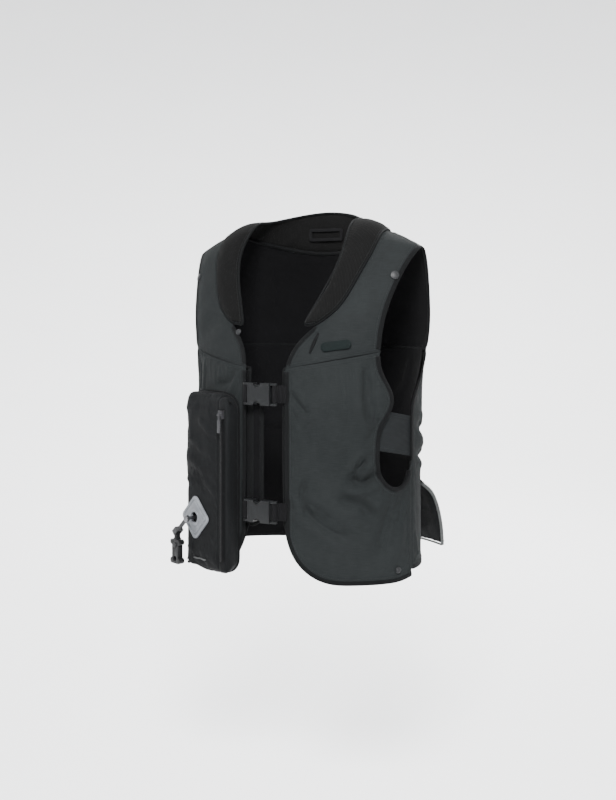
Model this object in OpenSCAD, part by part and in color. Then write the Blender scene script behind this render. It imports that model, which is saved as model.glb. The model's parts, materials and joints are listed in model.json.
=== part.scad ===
// Inflatable safety vest: outer shell, collar, lining, air cells, gas pocket with its
// cartridge and release key, two side-release buckles, side straps and a lifting rear flap.
// +Z is up, -Y is the wearer's front and +X is the wearer's left. Angles round the body
// start at the front centre and grow towards the wearer's left.

/* [Body] */
// Height of the shoulder ridge at the centre line, above the lowest hem
ridge_top = 533; // [500:1:640]
// How far the shoulder falls from the centre line to its tip
shoulder_drop = 52; // [35:1:65]
// Half width of the shell at the shoulder tips
shoulder_half_w = 192; // [165:1:196]
// Half width of the shell at the waist
waist_half_w = 182; // [155:1:195]
// Half width of the body's section at the chest
chest_half_w = 202; // [198:1:240]
// Half depth of the shell, front and back
half_depth = 126; // [105:1:152]
// Distance from the centre line to each front edge
front_edge_x = 34; // [30:1:41]
// Radius of the rounded front corners of the hem
hem_corner_r = 78; // [60:1:94]
// How far the hem rises from the front to the sides
hem_rise = 14; // [11:1:18]

/* [Layers] */
// Thickness of the shell fabric
shell_t = 2; // [1.6:0.1:2.4]
// Thickness of a deflated air cell
cell_t = 2; // [1.6:0.1:2.4]
// Thickness of the mesh lining
lining_t = 1.4; // [1.1:0.1:1.7]
// Gap between two layers
layer_gap = 0.3; // [0.2:0.05:0.4]

/* [Yoke and collar] */
// Height of the yoke seam at the front edge
yoke_z = 305; // [300:1:330]
// How far the yoke seam rises to the armhole
yoke_rise = 24; // [16:1:29]
// Thickness of the padded collar
collar_t = 10; // [8:0.5:12]
// Height of the collar's top edge at the back of the neck
collar_back_z = 540; // [530:1:645]
// Radius of the neck opening, side to side
neck_rx = 84; // [74:1:90]
// Radius of the neck opening, front to back
neck_ry = 62; // [54:1:64]
// Radius of the collar's lower edge, side to side
collar_rx = 136; // [125:1:144]

/* [Side straps] */
// Height of each side strap
strap_h = 58; // [48:1:62]
// Thickness of the elastic in the side straps
strap_t = 1.6; // [1.3:0.1:2]

/* [Buckles] */
// Width of the buckle webbing
web_w = 25; // [20:1:30]
// Thickness of the webbing
web_t = 1.6; // [1.3:0.1:1.9]
// Height of the upper buckle
upper_buckle_z = 268; // [250:1:280]
// Height of the lower buckle
lower_buckle_z = 100; // [90:1:120]
// Thickness of a buckle
buckle_t = 12; // [11:0.5:14]
// Length of a buckle's socket
socket_l = 33; // [28:1:36]

/* [Gas pocket] */
// Diameter of the gas cartridge
cartridge_d = 25; // [21:0.5:30]
// Length of the gas cartridge's body
cartridge_l = 122; // [102:1:130]
// Lowest point of the pocket
pocket_z = 1; // [0:1:12]
// Height of the pocket
pocket_h = 265; // [250:1:268]
// Width across the corners of the guard plate
guard_w = 64; // [54:1:72]
// Radius of the release key's ball
key_ball_r = 5; // [4:0.25:6]
// Radius of the eye in the coupler, where a lanyard ring goes
eye_r = 4; // [3.4:0.1:4.8]

/* [Rear flap] */
// Half width of the rear flap
flap_half_w = 131; // [108:1:140]
// Length of the rear flap
flap_h = 108; // [90:1:116]
// How far the flap's lower edge stands off the back
flap_out = 55; // [44:1:62]
// Thickness of the padded flap
flap_t = 8; // [6.5:0.5:9.5]

/* [Hidden] */
$fn = 48;

black = [0.09, 0.095, 0.1];
soft_black = [0.06, 0.06, 0.065];
smooth_black = [0.12, 0.13, 0.14];
plastic_black = [0.05, 0.05, 0.055];
silver = [0.62, 0.64, 0.66];

waist_z = 270;          // the sides are upright below this height
chest_z = 390;          // and widest above this one
lean_z = 300;           // the front and back lean in above this height
mid_power = 1.15;       // how the rounding grows at the centre line
side_power = 1.1;       // and how much faster it grows at the side
chest_break = 18;       // how much higher the middle of the chest starts to slope back
slope_power = 1.5;      // how that slope grows
side_seam = 84;         // angle of the side seam
slot_t = 70.5;          // angle and height of the middle of the side slot,
slot_z = 168;
slot_dt = 12.3;         // its half width as an angle and its half height
slot_dz = 34;
wing_z = 262;           // the front panel's wing behind the armhole: its height,
wing_dz = 34;           // spread
wing_dt = 11.5;         // and size as an angle
armhole_back = 112;     // angle of the armhole's rear edge at the yoke
fit_gap = 0.3;          // clearance between parts that move

// ---------------------------------------------------------------- surface of the body
function clamp(u) = max(0, min(1, u));
function ease(u) = let (c = clamp(u)) c * c * (3 - 2 * c);
function mix(a, b, u) = a + (b - a) * u;
function unit(v) = v / norm(v);

function half_w(z) = mix(waist_half_w, chest_half_w, ease((z - waist_z) / (chest_z - waist_z)));
function fall() = shoulder_drop / (shoulder_half_w * shoulder_half_w);
function ridge_z(x) = ridge_top - fall() * x * x;
function rise(x, z, from) = clamp((z - from) / (ridge_z(x) - from));
function round_in(x, z) = 1 - pow(rise(x, z, lean_z), mid_power + side_power * pow(x / chest_half_w, 2));
function slope_in(x, z) = pow(1 - rise(x, z, lean_z + chest_break), slope_power);
// Square of the depth that is left at x and z. The chest slopes back in the middle
// and rounds in at the sides, and the back rounds in everywhere.
function left_over(x, z, side) = side > 0 ? round_in(x, z) :
    mix(slope_in(x, z), round_in(x, z), ease(abs(x) / (0.84 * shoulder_half_w)));

// Outward normal of the surface at x, y, z
function normal(x, y, z) =
    let (d = 1, side = y > 0 ? 1 : -1, wide = 1 - pow(x / half_w(z), 2),
         top = min(z, ridge_z(x) - d), here = left_over(x, z, side),
         by_x = (left_over(x + d, top, side) - left_over(x - d, top, side)) / (2 * d),
         by_z = (left_over(x, top + d, side) - left_over(x, top - d, side)) / (2 * d))
    unit([
        2 * x / pow(half_w(z), 2) * here - wide * by_x,
        2 * y / pow(half_depth, 2),
        -wide * by_z
    ]);

// Point of the surface at angle t and height z, moved out by off
function skin(t, z, off = 0) =
    let (x = half_w(z) * sin(t), y = -half_depth * cos(t) * sqrt(left_over(x, z, -cos(t))))
    [x, y, z] + off * normal(x, y, z);

// Point of the front (side = -1) or back (side = 1) at x and z, moved out by off
function skin_x(x, z, side, off = 0) =
    let (y = side * half_depth * sqrt(max(0, 1 - pow(x / half_w(z), 2)) * left_over(x, z, side)))
    [x, y, z] + off * normal(x, y, z);

// Height of the back's surface over a plan point near the shoulders
function top_z(x, y) =
    let (part = abs(y) / (half_depth * sqrt(1 - pow(x / chest_half_w, 2))),
         power = mid_power + side_power * pow(x / chest_half_w, 2))
    lean_z + (ridge_z(x) - lean_z) * pow(max(0, 1 - part * part), 1 / power);

// ---------------------------------------------------------------- outlines
function hem_z(t) =
    let (front = asin(front_edge_x / waist_half_w), x = waist_half_w * sin(min(abs(t), 80)),
         u = clamp((x - front_edge_x) / hem_corner_r))
    abs(t) <= front ? hem_corner_r :
    hem_corner_r * (1 - sqrt(1 - pow(1 - u, 2))) + hem_rise * ease((abs(t) - 66) / 45);
function front_t(z, x = front_edge_x) = asin(x / half_w(z));
function seam_z(x) =
    yoke_z + yoke_rise * clamp((abs(x) - front_edge_x) / (armhole_x(0) - front_edge_x));
function armhole_x(w) = mix(0.823 * shoulder_half_w, shoulder_half_w, pow(w, 1.5));
function slot_low(t) = slot_z - slot_dz * sqrt(max(0, 1 - pow((t - slot_t) / slot_dt, 2)));
slot_corner_t = slot_t - slot_dt * cos(45);
slot_corner_z = slot_z - slot_dz * sin(45);
armhole_t = asin(armhole_x(0) / half_w(yoke_z + yoke_rise));
function side_t(z) =
    z < slot_z ? slot_t - slot_dt * sqrt(max(0, 1 - pow((slot_z - z) / slot_dz, 2))) :
    mix(slot_t - slot_dt, armhole_t, ease((z - slot_z) / (yoke_z + yoke_rise - slot_z)))
        + wing_dt * exp(-pow((z - wing_z) / wing_dz, 2))
        * ease((yoke_z + yoke_rise - z) / 20);
function back_t(z) = mix(side_seam, armhole_back, ease((z - slot_z - strap_h - 20) / 80));

// Distance of the neckline and of the collar's outer edge from the centre, w up the yoke
neck_w = 0.24;          // the collar's lower end
function neck_x(w) = mix(front_edge_x, neck_rx, ease(w / 0.86)) + 9 * sin(180 * clamp(w));
function collar_x(w) =
    let (u = clamp((w - neck_w) / 0.36))
    mix(neck_x(w) + 5, mix(collar_rx - 22, collar_rx, ease((w - 0.4) / 0.5)), pow(1 - pow(1 - u, 2), 0.6));
function yoke_edge_x(w) = w <= neck_w ? neck_x(w) : collar_x(w);

// ---------------------------------------------------------------- sheets
// Closed sheet between two grids of points. Above row rows_all it stops at column
// corner_col, and the cell skip = [row, column] is left out as a hole.
module sheet(outer, inner, rows_all = 9999, corner_col = 9999, skip = []) {
    nr = len(outer);
    nc = len(outer[0]);
    function has(i, j) = i >= 0 && j >= 0 && i < nr - 1 && j < nc - 1
        && (i < rows_all || j < corner_col) && [i, j] != skip;
    function id(i, j, k) = k * nr * nc + i * nc + j;
    points = concat([for (r = outer) each r], [for (r = inner) each r]);
    cells = [for (i = [0:nr - 2], j = [0:nc - 2]) if (has(i, j)) [i, j]];
    faces = [for (c = cells) let (i = c[0], j = c[1]) each concat(
        [[id(i, j, 0), id(i + 1, j, 0), id(i + 1, j + 1, 0)],
         [id(i, j, 0), id(i + 1, j + 1, 0), id(i, j + 1, 0)],
         [id(i, j, 1), id(i + 1, j + 1, 1), id(i + 1, j, 1)],
         [id(i, j, 1), id(i, j + 1, 1), id(i + 1, j + 1, 1)]],
        has(i - 1, j) ? [] : wall(id(i, j, 0), id(i, j + 1, 0), nr * nc),
        has(i + 1, j) ? [] : wall(id(i + 1, j + 1, 0), id(i + 1, j, 0), nr * nc),
        has(i, j - 1) ? [] : wall(id(i + 1, j, 0), id(i, j, 0), nr * nc),
        has(i, j + 1) ? [] : wall(id(i, j + 1, 0), id(i + 1, j + 1, 0), nr * nc))];
    polyhedron(points = points, faces = faces, convexity = 10);
}
function wall(a, b, n) = [[a, b, b + n], [a, b + n, a + n]];

// Grid of surface points from a grid of [angle, height] pairs
function lay(grid, off) = [for (r = grid) [for (p = r) skin(p[0], p[1], off)]];
function lay_x(grid, side, off) = [for (r = grid) [for (p = r) skin_x(p[0], p[1], side, off)]];

// Front panel: full rows below the side slot, then only up to its front edge.
// inset moves the outline in, as the inner layers need.
front_low = 8;
front_high = 14;
front_in = 11;
front_side = 6;
band_rise = 24;         // the lower rows' top at the front edge, above the hem's corner
function front_grid(edge_x, inset) = [for (i = [0:front_low + front_high])
    [for (j = [0:front_in + front_side])
        let (u = min(j, front_in) / front_in, v = max(0, j - front_in) / front_side,
             low = i <= front_low,
             k = low ? i / front_low : (i - front_low) / front_high,
             near = asin((edge_x + 1) / waist_half_w),
             t_low = j <= front_in ? mix(near, slot_corner_t, pow(u, 1.3)) :
                 mix(slot_corner_t, side_seam - inset / 4, v),
             z_slot = t_low < slot_corner_t ? mix(hem_corner_r + band_rise, slot_corner_z, ease(u)) :
                 slot_low(t_low),
             x_top = mix(edge_x, armhole_x(0) - inset, u),
             z_high = mix(z_slot, seam_z(x_top), k),
             t_high = mix(front_t(z_high, edge_x), side_t(z_high) - inset / 3, u),
             fade = ease(k / 0.35))
        low ? [t_low, mix(hem_z(t_low) + inset, z_slot - inset * v, k)] :
        [u >= 1 ? t_high : mix(t_low, t_high, fade), z_high]]];

module front_layer(off_out, off_in, edge_x = front_edge_x, inset = 0) {
    g = front_grid(edge_x, inset);
    sheet(lay(g, off_out), lay(g, off_in), front_low, front_in);
}

// Back panel: one grid from side seam to side seam, up to the back yoke
back_rows = 16;
back_cols = 22;
function back_grid(inset) = [for (i = [0:back_rows]) [for (j = [0:back_cols])
    let (v = j / back_cols,
         z = mix(hem_rise, yoke_z + yoke_rise, i / back_rows) + (i == 0 ? inset : 0),
         pull = inset / 3 * (j == 0 ? 1 : j == back_cols ? -1 : 0))
    [mix(back_t(z), 360 - back_t(z), v) + pull, z]]];
module back_layer(off_out, off_in, inset = 0) {
    g = back_grid(inset);
    sheet(lay(g, off_out), lay(g, off_in));
}

// Front yoke of the wearer's left side
yoke_rows = 12;
yoke_cols = 7;
function yoke_grid(inset) = [for (i = [0:yoke_rows]) [for (j = [0:yoke_cols])
    let (k = i / yoke_rows, w = 1 - pow(1 - k, 1.7),
         x = mix(yoke_edge_x(w), armhole_x(w) - inset, j / yoke_cols))
    [x, mix(seam_z(x), ridge_z(x), w)]]];
module front_yoke_layer(off_out, off_in, inset = 0) {
    g = yoke_grid(inset);
    sheet(lay_x(g, -1, off_out), lay_x(g, -1, off_in));
}

// Back yoke: from the back panel up to the shoulder ridge and the collar
back_collar_y = neck_ry + 4;
yoke_split = 0.7;       // share of the half width that ends at the collar
function back_top(u) =
    let (a = abs(u), s = sign(u))
    a >= yoke_split ?
        let (x = mix(collar_rx, shoulder_half_w, (a - yoke_split) / (1 - yoke_split)))
        [s * x, ridge_z(x)] :
        let (phi = 90 * (1 - a / yoke_split), x = collar_rx * cos(phi), y = back_collar_y * sin(phi))
        [s * x, top_z(x, y)];
function back_yoke_grid(inset) = [for (i = [0:yoke_rows]) [for (j = [0:back_cols])
    let (u = 1 - 2 * j / back_cols, k = i / yoke_rows, w = 1 - pow(1 - k, 1.7),
         edge = half_w(yoke_z + yoke_rise) * sin(armhole_back) - inset,
         top = back_top(u))
    [mix(u * edge, top[0] * (1 - inset / 200), w), mix(yoke_z + yoke_rise, top[1], w)]]];
module back_yoke_layer(off_out, off_in, inset = 0) {
    g = back_yoke_grid(inset);
    sheet(lay_x(g, 1, off_out), lay_x(g, 1, off_in));
}

// ---------------------------------------------------------------- soft shell
module left_front_panel() { color(black) front_layer(0, -shell_t); }
module right_front_panel() { color(black) mirror([1, 0, 0]) front_layer(0, -shell_t); }
module back_panel() { color(black) back_layer(0, -shell_t); }
module left_yoke() { color(smooth_black) front_yoke_layer(0, -shell_t); }
module right_yoke() { color(smooth_black) mirror([1, 0, 0]) front_yoke_layer(0, -shell_t); }
module back_yoke() { color(smooth_black) back_yoke_layer(0, -shell_t); }

cell_off = -shell_t - layer_gap;
lining_off = cell_off - cell_t - layer_gap;
lining_edge_x = front_edge_x - 6;
module left_lining() {
    color(soft_black) front_layer(lining_off, lining_off - lining_t, lining_edge_x, 4);
}
module right_lining() { mirror([1, 0, 0]) left_lining(); }
module back_lining() { color(soft_black) back_layer(lining_off, lining_off - lining_t, 4); }

// Air cells: flat bags between the shell and the lining
cell_bottom = 96;
cell_top = 260;
cell_t0 = 20;           // its sides as angles
cell_t1 = 55;
module left_air_cell() {
    g = [for (i = [0:8]) [for (j = [0:6])
        [mix(cell_t0, cell_t1, j / 6), mix(cell_bottom, cell_top, i / 8)]]];
    color("dimgray") sheet(lay(g, cell_off), lay(g, cell_off - cell_t));
}
module right_air_cell() { mirror([1, 0, 0]) left_air_cell(); }
// The back cell keeps the back panel's rows and columns
cell_row0 = 4;
cell_row1 = 14;
cell_col0 = 4;
module back_air_cell() {
    rows = back_grid(0);
    g = [for (i = [cell_row0:cell_row1]) [for (j = [cell_col0:back_cols - cell_col0]) rows[i][j]]];
    color("dimgray") sheet(lay(g, cell_off), lay(g, cell_off - cell_t));
}

// Flap that carries the right lining on behind the buckles
underflap_reach = 29;
module front_underflap() {
    x0 = front_edge_x - underflap_reach;
    g = [for (i = [0:12]) [for (j = [0:3])
        let (k = i / 12, u = j / 3,
             low = 74 + 14 * pow(1 - u, 2), high = yoke_z - 22 - 14 * pow(1 - u, 2),
             z = mix(low, high, k), x = mix(x0, lining_edge_x, u))
        [asin(x / half_w(z)), z]]];
    color(soft_black) mirror([1, 0, 0])
        sheet(lay(g, lining_off), lay(g, lining_off - lining_t));
}

// ---------------------------------------------------------------- collar
// The band's lower and upper edges, s from 0 at the left end to 1 at the middle of the back
collar_front = 0.62;     // share of s that lies on the front
collar_gap = 0.5;       // between the collar's lower edge and the yoke
collar_edge = 1.4;      // thickness at the collar's edges
collar_end = 0.012;     // how far from 0 and 1 the first and last rows lie
collar_step = 0.01;     // step of s that gives the band's direction
function collar_w(s) = mix(neck_w, 1, 1 - pow(1 - s / collar_front, 1.7));
function collar_low(s) = s <= collar_front ?
    let (w = collar_w(s), x = collar_x(w) - collar_gap) skin_x(x, mix(seam_z(x), ridge_z(x), w), -1, 0) :
    let (phi = 90 * (s - collar_front) / (1 - collar_front),
         x = (collar_rx - collar_gap) * cos(phi), y = (back_collar_y - collar_gap) * sin(phi))
    [x, y, top_z(x, y)];
function collar_high(s) = s <= collar_front ?
    let (w = collar_w(s), x = neck_x(w)) skin_x(x, mix(seam_z(x), ridge_z(x), w), -1, 0) :
    let (phi = 90 * (s - collar_front) / (1 - collar_front))
    [neck_rx * cos(phi), neck_ry * sin(phi),
        mix(ridge_z(neck_rx), collar_back_z, pow(sin(phi), 2))];
function collar_row(s, cols, flip) =
    let (a = collar_low(s), b = collar_high(s),
         along = unit(collar_low(s + collar_step) - collar_low(s - collar_step)),
         up = unit(cross(along, unit(b - a))))
    [for (side = [0, 1]) [for (j = [0:cols])
        let (u = j / cols, pad = collar_t * pow(sin(180 * u), 0.7),
             off = side == 0 ? layer_gap - 0.2 * pad : layer_gap + collar_edge + 0.6 * pad,
             p = mix(a, b, u) + up * off)
        [flip * p[0], p[1], p[2]]]];
module collar() {
    n = 26;
    cols = 5;
    half = [for (i = [0:n]) collar_row(mix(collar_end, 1 - collar_end, i / n), cols, -1)];
    other = [for (i = [0:n]) collar_row(mix(1 - collar_end, collar_end, i / n), cols, 1)];
    rows = concat(half, other);
    color([0.035, 0.035, 0.035])
        sheet([for (r = rows) r[1]], [for (r = rows) r[0]]);
}

// ---------------------------------------------------------------- placing on the surface
function frame_at(p, n) =
    let (v = unit([0, 0, 1] - n * n[2]), u = cross(v, n))
    [[u[0], v[0], n[0], p[0]], [u[1], v[1], n[1], p[1]], [u[2], v[2], n[2], p[2]], [0, 0, 0, 1]];
function normal_at(t, z) = let (p = skin(t, z)) normal(p[0], p[1], p[2]);
module on_skin(t, z, off) { multmatrix(frame_at(skin(t, z, off), normal_at(t, z))) children(); }
module on_skin_x(x, z, side, off) {
    p = skin_x(x, z, side);
    multmatrix(frame_at(skin_x(x, z, side, off), normal(p[0], p[1], p[2]))) children();
}

// ---------------------------------------------------------------- side straps
strap_low = slot_z + 22; // height of the strap's lower edge at the front
strap_drop = 15;        // how much lower its rear end lies
strap_under = 5;        // how far it runs on under the back panel, as an angle
module left_side_strap() {
    strap_off = -shell_t - 2 * layer_gap;
    g = [for (i = [0:4]) [for (j = [0:6])
        let (u = j / 6, low = strap_low - strap_drop * u)
        [mix(side_t(strap_low + 8) - 3, side_seam + strap_under, u), mix(low, low + strap_h, i / 4)]]];
    color(black) sheet(lay(g, strap_off), lay(g, strap_off - strap_t));
}
module right_side_strap() { mirror([1, 0, 0]) left_side_strap(); }

// ---------------------------------------------------------------- buckles
// Each buckle lies along X in front of the opening, with its plug on the wearer's right.
buckle_h = web_w + 7;
buckle_clear = 1;       // between a buckle's back and the shell
rail = 3;
rail_t = 7;
bar_r = 2;
buckle_y = -(half_depth + layer_gap + buckle_clear + buckle_t / 2);
socket_x0 = -17;
socket_x1 = socket_x0 + socket_l;
socket_bar_x = socket_x1 + web_t + fit_gap + bar_r + 2.4;
wall_t = 2;
cavity_y = buckle_t - 2 * wall_t;
cavity_z = buckle_h - 2 * wall_t;
prong_l = 22;
prong_z = 4.2;
prong_y = cavity_y - 1;
window_l = 12;
window_x = socket_x0 + 6;
plug_x0 = socket_x0 - fit_gap - 4;
plug_bar_x = plug_x0 - web_t - fit_gap - bar_r - 2;

// Frame of two rails and a round bar that the webbing turns on
module web_frame(from_x, bar_x, z) {
    reach_x = abs(bar_x - from_x);
    for (s = [-1, 1])
        translate([min(from_x, bar_x), buckle_y - rail_t / 2, z + s * (buckle_h - rail) / 2 - rail / 2])
            cube([reach_x, rail_t, rail]);
    for (s = [-1, 1])
        translate([bar_x, buckle_y, z + s * (buckle_h - rail) / 2])
            cylinder(r = rail_t / 2, h = rail, center = true);
    translate([bar_x, buckle_y, z]) cylinder(r = bar_r, h = buckle_h - rail, center = true);
}
module socket(z) {
    color(plastic_black) union() {
        difference() {
            translate([(socket_x0 + socket_x1) / 2, buckle_y, z])
                cube([socket_l, buckle_t, buckle_h], center = true);
            translate([socket_x0 - 1, buckle_y - cavity_y / 2, z - cavity_z / 2])
                cube([socket_l - 3, cavity_y, cavity_z]);
            for (s = [-1, 1])
                translate([window_x + window_l / 2, buckle_y, z + s * buckle_h / 2])
                    rotate([90, 0, 0]) cylinder(r = window_l / 2, h = buckle_t + 2, center = true);
        }
        web_frame(socket_x1, socket_bar_x, z);
    }
}
module plug(z) {
    color(plastic_black) union() {
        translate([plug_x0 - 1, buckle_y - cavity_y / 2, z - buckle_h / 2]) cube([4, cavity_y, buckle_h]);
        web_frame(plug_x0, plug_bar_x, z);
        // guide tongue between the prongs
        translate([plug_x0 + 2, buckle_y - prong_y / 2, z - 3]) cube([24, prong_y, 6]);
    }
}
// A prong bends inwards where it leaves the plug: the hinge line is at its root
prong_root_x = plug_x0 + 3 + fit_gap;
pad_r = 4.6;
module prong(z, s) {
    edge = cavity_z / 2 - fit_gap;
    color(plastic_black) translate([0, buckle_y, z]) mirror([0, 0, s > 0 ? 0 : 1]) difference() {
        union() {
            translate([prong_root_x, -prong_y / 2, edge - prong_z]) cube([prong_l, prong_y, prong_z]);
            translate([window_x + window_l / 2, 0, edge - pad_r])
                rotate([90, 0, 0]) cylinder(r = pad_r, h = prong_y, center = true);
        }
        // finger hollow in the thumb pad
        translate([window_x + window_l / 2, 0, edge + 7])
            rotate([90, 0, 0]) cylinder(r = 8, h = prong_y + 2, center = true);
    }
}
// Webbing: a loop round the bar and a tail. The socket's tail lies on the left front edge,
// because it travels with the socket, and the plug's tail runs under the right one.
module webbing(bar_x, z, s) {
    loop_r = bar_r + 0.2;
    depth = s > 0 ? layer_gap + web_t : -shell_t - layer_gap;
    edge_x = front_edge_x - 1;
    far_x = front_edge_x + (s > 0 ? 3 : 12);
    // the flat tail stays clear of the curved shell
    tail_clear = s > 0 ? -0.1 : 0.3;
    y_edge = skin_x(edge_x, z, -1, depth)[1];
    y_far = skin_x(far_x, z, -1, depth)[1] + tail_clear;
    from = [s * bar_x, buckle_y + loop_r];
    bend = [edge_x - 3.5, y_edge + 0.1];
    color([0.04, 0.04, 0.045]) mirror([s < 0 ? 1 : 0, 0, 0])
        translate([0, 0, z - web_w / 2]) linear_extrude(height = web_w) union() {
            difference() {
                translate([s * bar_x, buckle_y]) circle(r = loop_r + web_t);
                translate([s * bar_x, buckle_y]) circle(r = loop_r);
            }
            polygon([from, bend, [edge_x, y_edge], [far_x, y_far],
                     [far_x, y_far + web_t], [edge_x - 0.5, y_edge + web_t],
                     bend + [-1.2, web_t], from + [0, web_t]]);
        }
}
module upper_socket() { socket(upper_buckle_z); }
module upper_plug() { plug(upper_buckle_z); }
module upper_prong_top() { prong(upper_buckle_z, 1); }
module upper_prong_bottom() { prong(upper_buckle_z, -1); }
module lower_socket() { socket(lower_buckle_z); }
module lower_plug() { plug(lower_buckle_z); }
module lower_prong_top() { prong(lower_buckle_z, 1); }
module lower_prong_bottom() { prong(lower_buckle_z, -1); }
module upper_left_webbing() { webbing(socket_bar_x, upper_buckle_z, 1); }
module upper_right_webbing() { webbing(plug_bar_x, upper_buckle_z, -1); }
module lower_left_webbing() { webbing(socket_bar_x, lower_buckle_z, 1); }
module lower_right_webbing() { webbing(plug_bar_x, lower_buckle_z, -1); }

// ---------------------------------------------------------------- gas pocket
// The pocket is a padded box whose face is flat and turned by pocket_turn to the wearer's
// right. Its own frame has U along the face towards the opening, V up and N outwards, and
// starts where the release key's axis meets the face.
pocket_wall = 2;
pocket_turn = 18.5;
key_x = 108;            // the key's distance from the centre line, on the body
key_z = 80;
backing_t = 1;
slack = 0.4;
cell_depth = layer_gap + backing_t + slack + cartridge_d + slack + pocket_wall;
pocket_u1 = 80;         // the face's inner edge and outer edge
pocket_u0 = -32;
pocket_round = 11;
pocket_corner = 24;      // radius of the outline's corners
pocket_edge_x = front_edge_x + 13;
pocket_back_t = 61;
along = [cos(pocket_turn), -sin(pocket_turn), 0];
outward = [-sin(pocket_turn), -cos(pocket_turn), 0];
// The cartridge stands on the key box, and both share one upright axis
axis_n = -pocket_wall - slack - cartridge_d / 2;
key_box_h = 44;
key_box_w = 30;
key_box_d = cartridge_d - 3;
neck_r = 6;
neck_l = 8;
seat = 2;
cartridge_v = key_z + key_box_h / 2 + neck_l - seat;
// Where the body is rounder than a pocket of that depth allows, the face stands further out
// by what the key box and the cartridge need
function bulge(u, z) =
    (skin_x(-key_x + u * along[0], z, -1, layer_gap + backing_t) - skin_x(-key_x, key_z, -1)) * outward;
box_room = cell_depth + axis_n - key_box_d / 2;
cartridge_room = cell_depth + axis_n - cartridge_d / 2;
pocket_lift = max(0,
    max([for (u = [-1, 0, 1], v = [-1, 0, 1])
        bulge(u * key_box_w / 2, key_z + v * key_box_h / 2)]) - box_room,
    max([for (v = [0:4]) bulge(0, cartridge_v + v * cartridge_l / 4)]) - cartridge_room);
key_foot = skin_x(-key_x, key_z, -1) + outward * (cell_depth + pocket_lift);
pocket_frame = [
    [along[0], 0, outward[0], key_foot[0]],
    [along[1], 0, outward[1], key_foot[1]],
    [0, 1, 0, 0],
    [0, 0, 0, 1]
];
module in_pocket() { multmatrix(pocket_frame) children(); }
function face_point(u, v, n) =
    key_foot + along * u + outward * n + [0, 0, v - key_foot[2]];

// Steps across the pocket, from one rounded edge over the flat places to the other:
// each is [place from low to high, share of the depth]
round_steps = 4;
function across(low, high, r, flat) = concat(
    [for (k = [0:round_steps]) let (a = 90 * k / round_steps) [low + r * (1 - cos(a)), sin(a)]],
    [for (p = flat) [p, 1]],
    [for (k = [0:round_steps]) let (a = 90 * (1 - k / round_steps)) [high - r * (1 - cos(a)), sin(a)]]);
key_hole = key_ball_r + 4;
pocket_top = pocket_z + pocket_h;
pocket_us = across(pocket_u0, pocket_u1, pocket_round, concat([-key_hole, key_hole],
    [for (k = [1:4]) mix(key_hole, pocket_u1 - pocket_round, k / 5)]));
pocket_vs = across(pocket_z, pocket_top, pocket_round, concat(
    [mix(pocket_z + pocket_round, key_z - key_hole, 0.5), key_z - key_hole, key_z + key_hole],
    [for (k = [1:5]) mix(key_z + key_hole, pocket_top - pocket_round, k / 6)]));
// The outline's corners are rounded, and the face stands on the body along its edges
function pocket_cut(u) =
    let (d = min(u - pocket_u0, pocket_u1 - u) / pocket_corner)
    pocket_corner * (1 - sqrt(1 - pow(1 - min(1, d), 2)));
function pocket_layer(inset) = [for (v = pocket_vs) [for (u = pocket_us)
    let (across_u = (u[0] - pocket_u0) / (pocket_u1 - pocket_u0),
         cut = pocket_cut(u[0]) + inset,
         z = max(pocket_z + cut, min(pocket_top - cut, v[0])),
         back_t = mix(-pocket_back_t + inset / 3, -front_t(z, pocket_edge_x + inset), across_u),
         base = skin(back_t, z, layer_gap),
         full = face_point(mix(pocket_u0 + inset, pocket_u1 - inset, across_u), z, -inset))
    mix(base, full, u[1] * v[1])]];
module pocket_cover() {
    hole = [round_steps + 2, round_steps + 1];
    color(black) sheet(pocket_layer(0), pocket_layer(pocket_wall), skip = hole);
}
// Stiff sheet inside the pocket, against the body
module pocket_backing() {
    g = [for (i = [0:6]) [for (j = [0:6])
        [mix(-pocket_back_t + 4, -front_t(key_z, pocket_edge_x + 7), j / 6),
         mix(pocket_z + 12, pocket_z + pocket_h - 12, i / 6)]]];
    color(soft_black) sheet(lay(g, layer_gap + backing_t), lay(g, layer_gap));
}

module gas_cartridge() {
    r = cartridge_d / 2;
    color("lightsteelblue") in_pocket() translate([0, cartridge_v, axis_n]) rotate([-90, 0, 0]) union() {
        translate([0, 0, r]) cylinder(r = r, h = cartridge_l - 2 * r);
        translate([0, 0, cartridge_l - r]) sphere(r = r);
        translate([0, 0, r]) sphere(r = r);
        translate([0, 0, -neck_l]) cylinder(r = neck_r, h = neck_l + 4);
    }
}
key_bore_r = key_ball_r + fit_gap;
module key_box() {
    color("gray") in_pocket() translate([0, key_z, axis_n]) difference() {
        translate([-key_box_w / 2, -key_box_h / 2, -key_box_d / 2]) cube([key_box_w, key_box_h, key_box_d]);
        // seat of the release key's ball
        translate([0, 0, -key_ball_r]) cylinder(r = key_bore_r, h = key_box_d);
        // seat of the cartridge's neck
        translate([0, key_box_h / 2 - seat, 0]) rotate([-90, 0, 0]) cylinder(r = neck_r + 0.05, h = 2 * seat);
    }
}
// Hose from the key box to the port in the front air cell
hose_r = 3;
hose_u = 42;
port_v = 150;
hose_n = -pocket_wall - slack - hose_r - 8;
module gas_hose() {
    color([0.1, 0.1, 0.1]) in_pocket() union() {
        translate([key_box_w / 2, key_z, hose_n]) rotate([0, 90, 0])
            cylinder(r = hose_r, h = hose_u - key_box_w / 2);
        translate([hose_u, key_z, hose_n]) sphere(r = hose_r);
        translate([hose_u, key_z, hose_n]) rotate([-90, 0, 0]) cylinder(r = hose_r, h = port_v - key_z);
    }
}
module hose_port() {
    color("gray") in_pocket() translate([hose_u, port_v, hose_n]) rotate([-90, 0, 0]) union() {
        cylinder(r = hose_r + 1.5, h = 8);
        translate([0, 0, 8]) cylinder(r = hose_r + 3.5, h = 3);
    }
}

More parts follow.
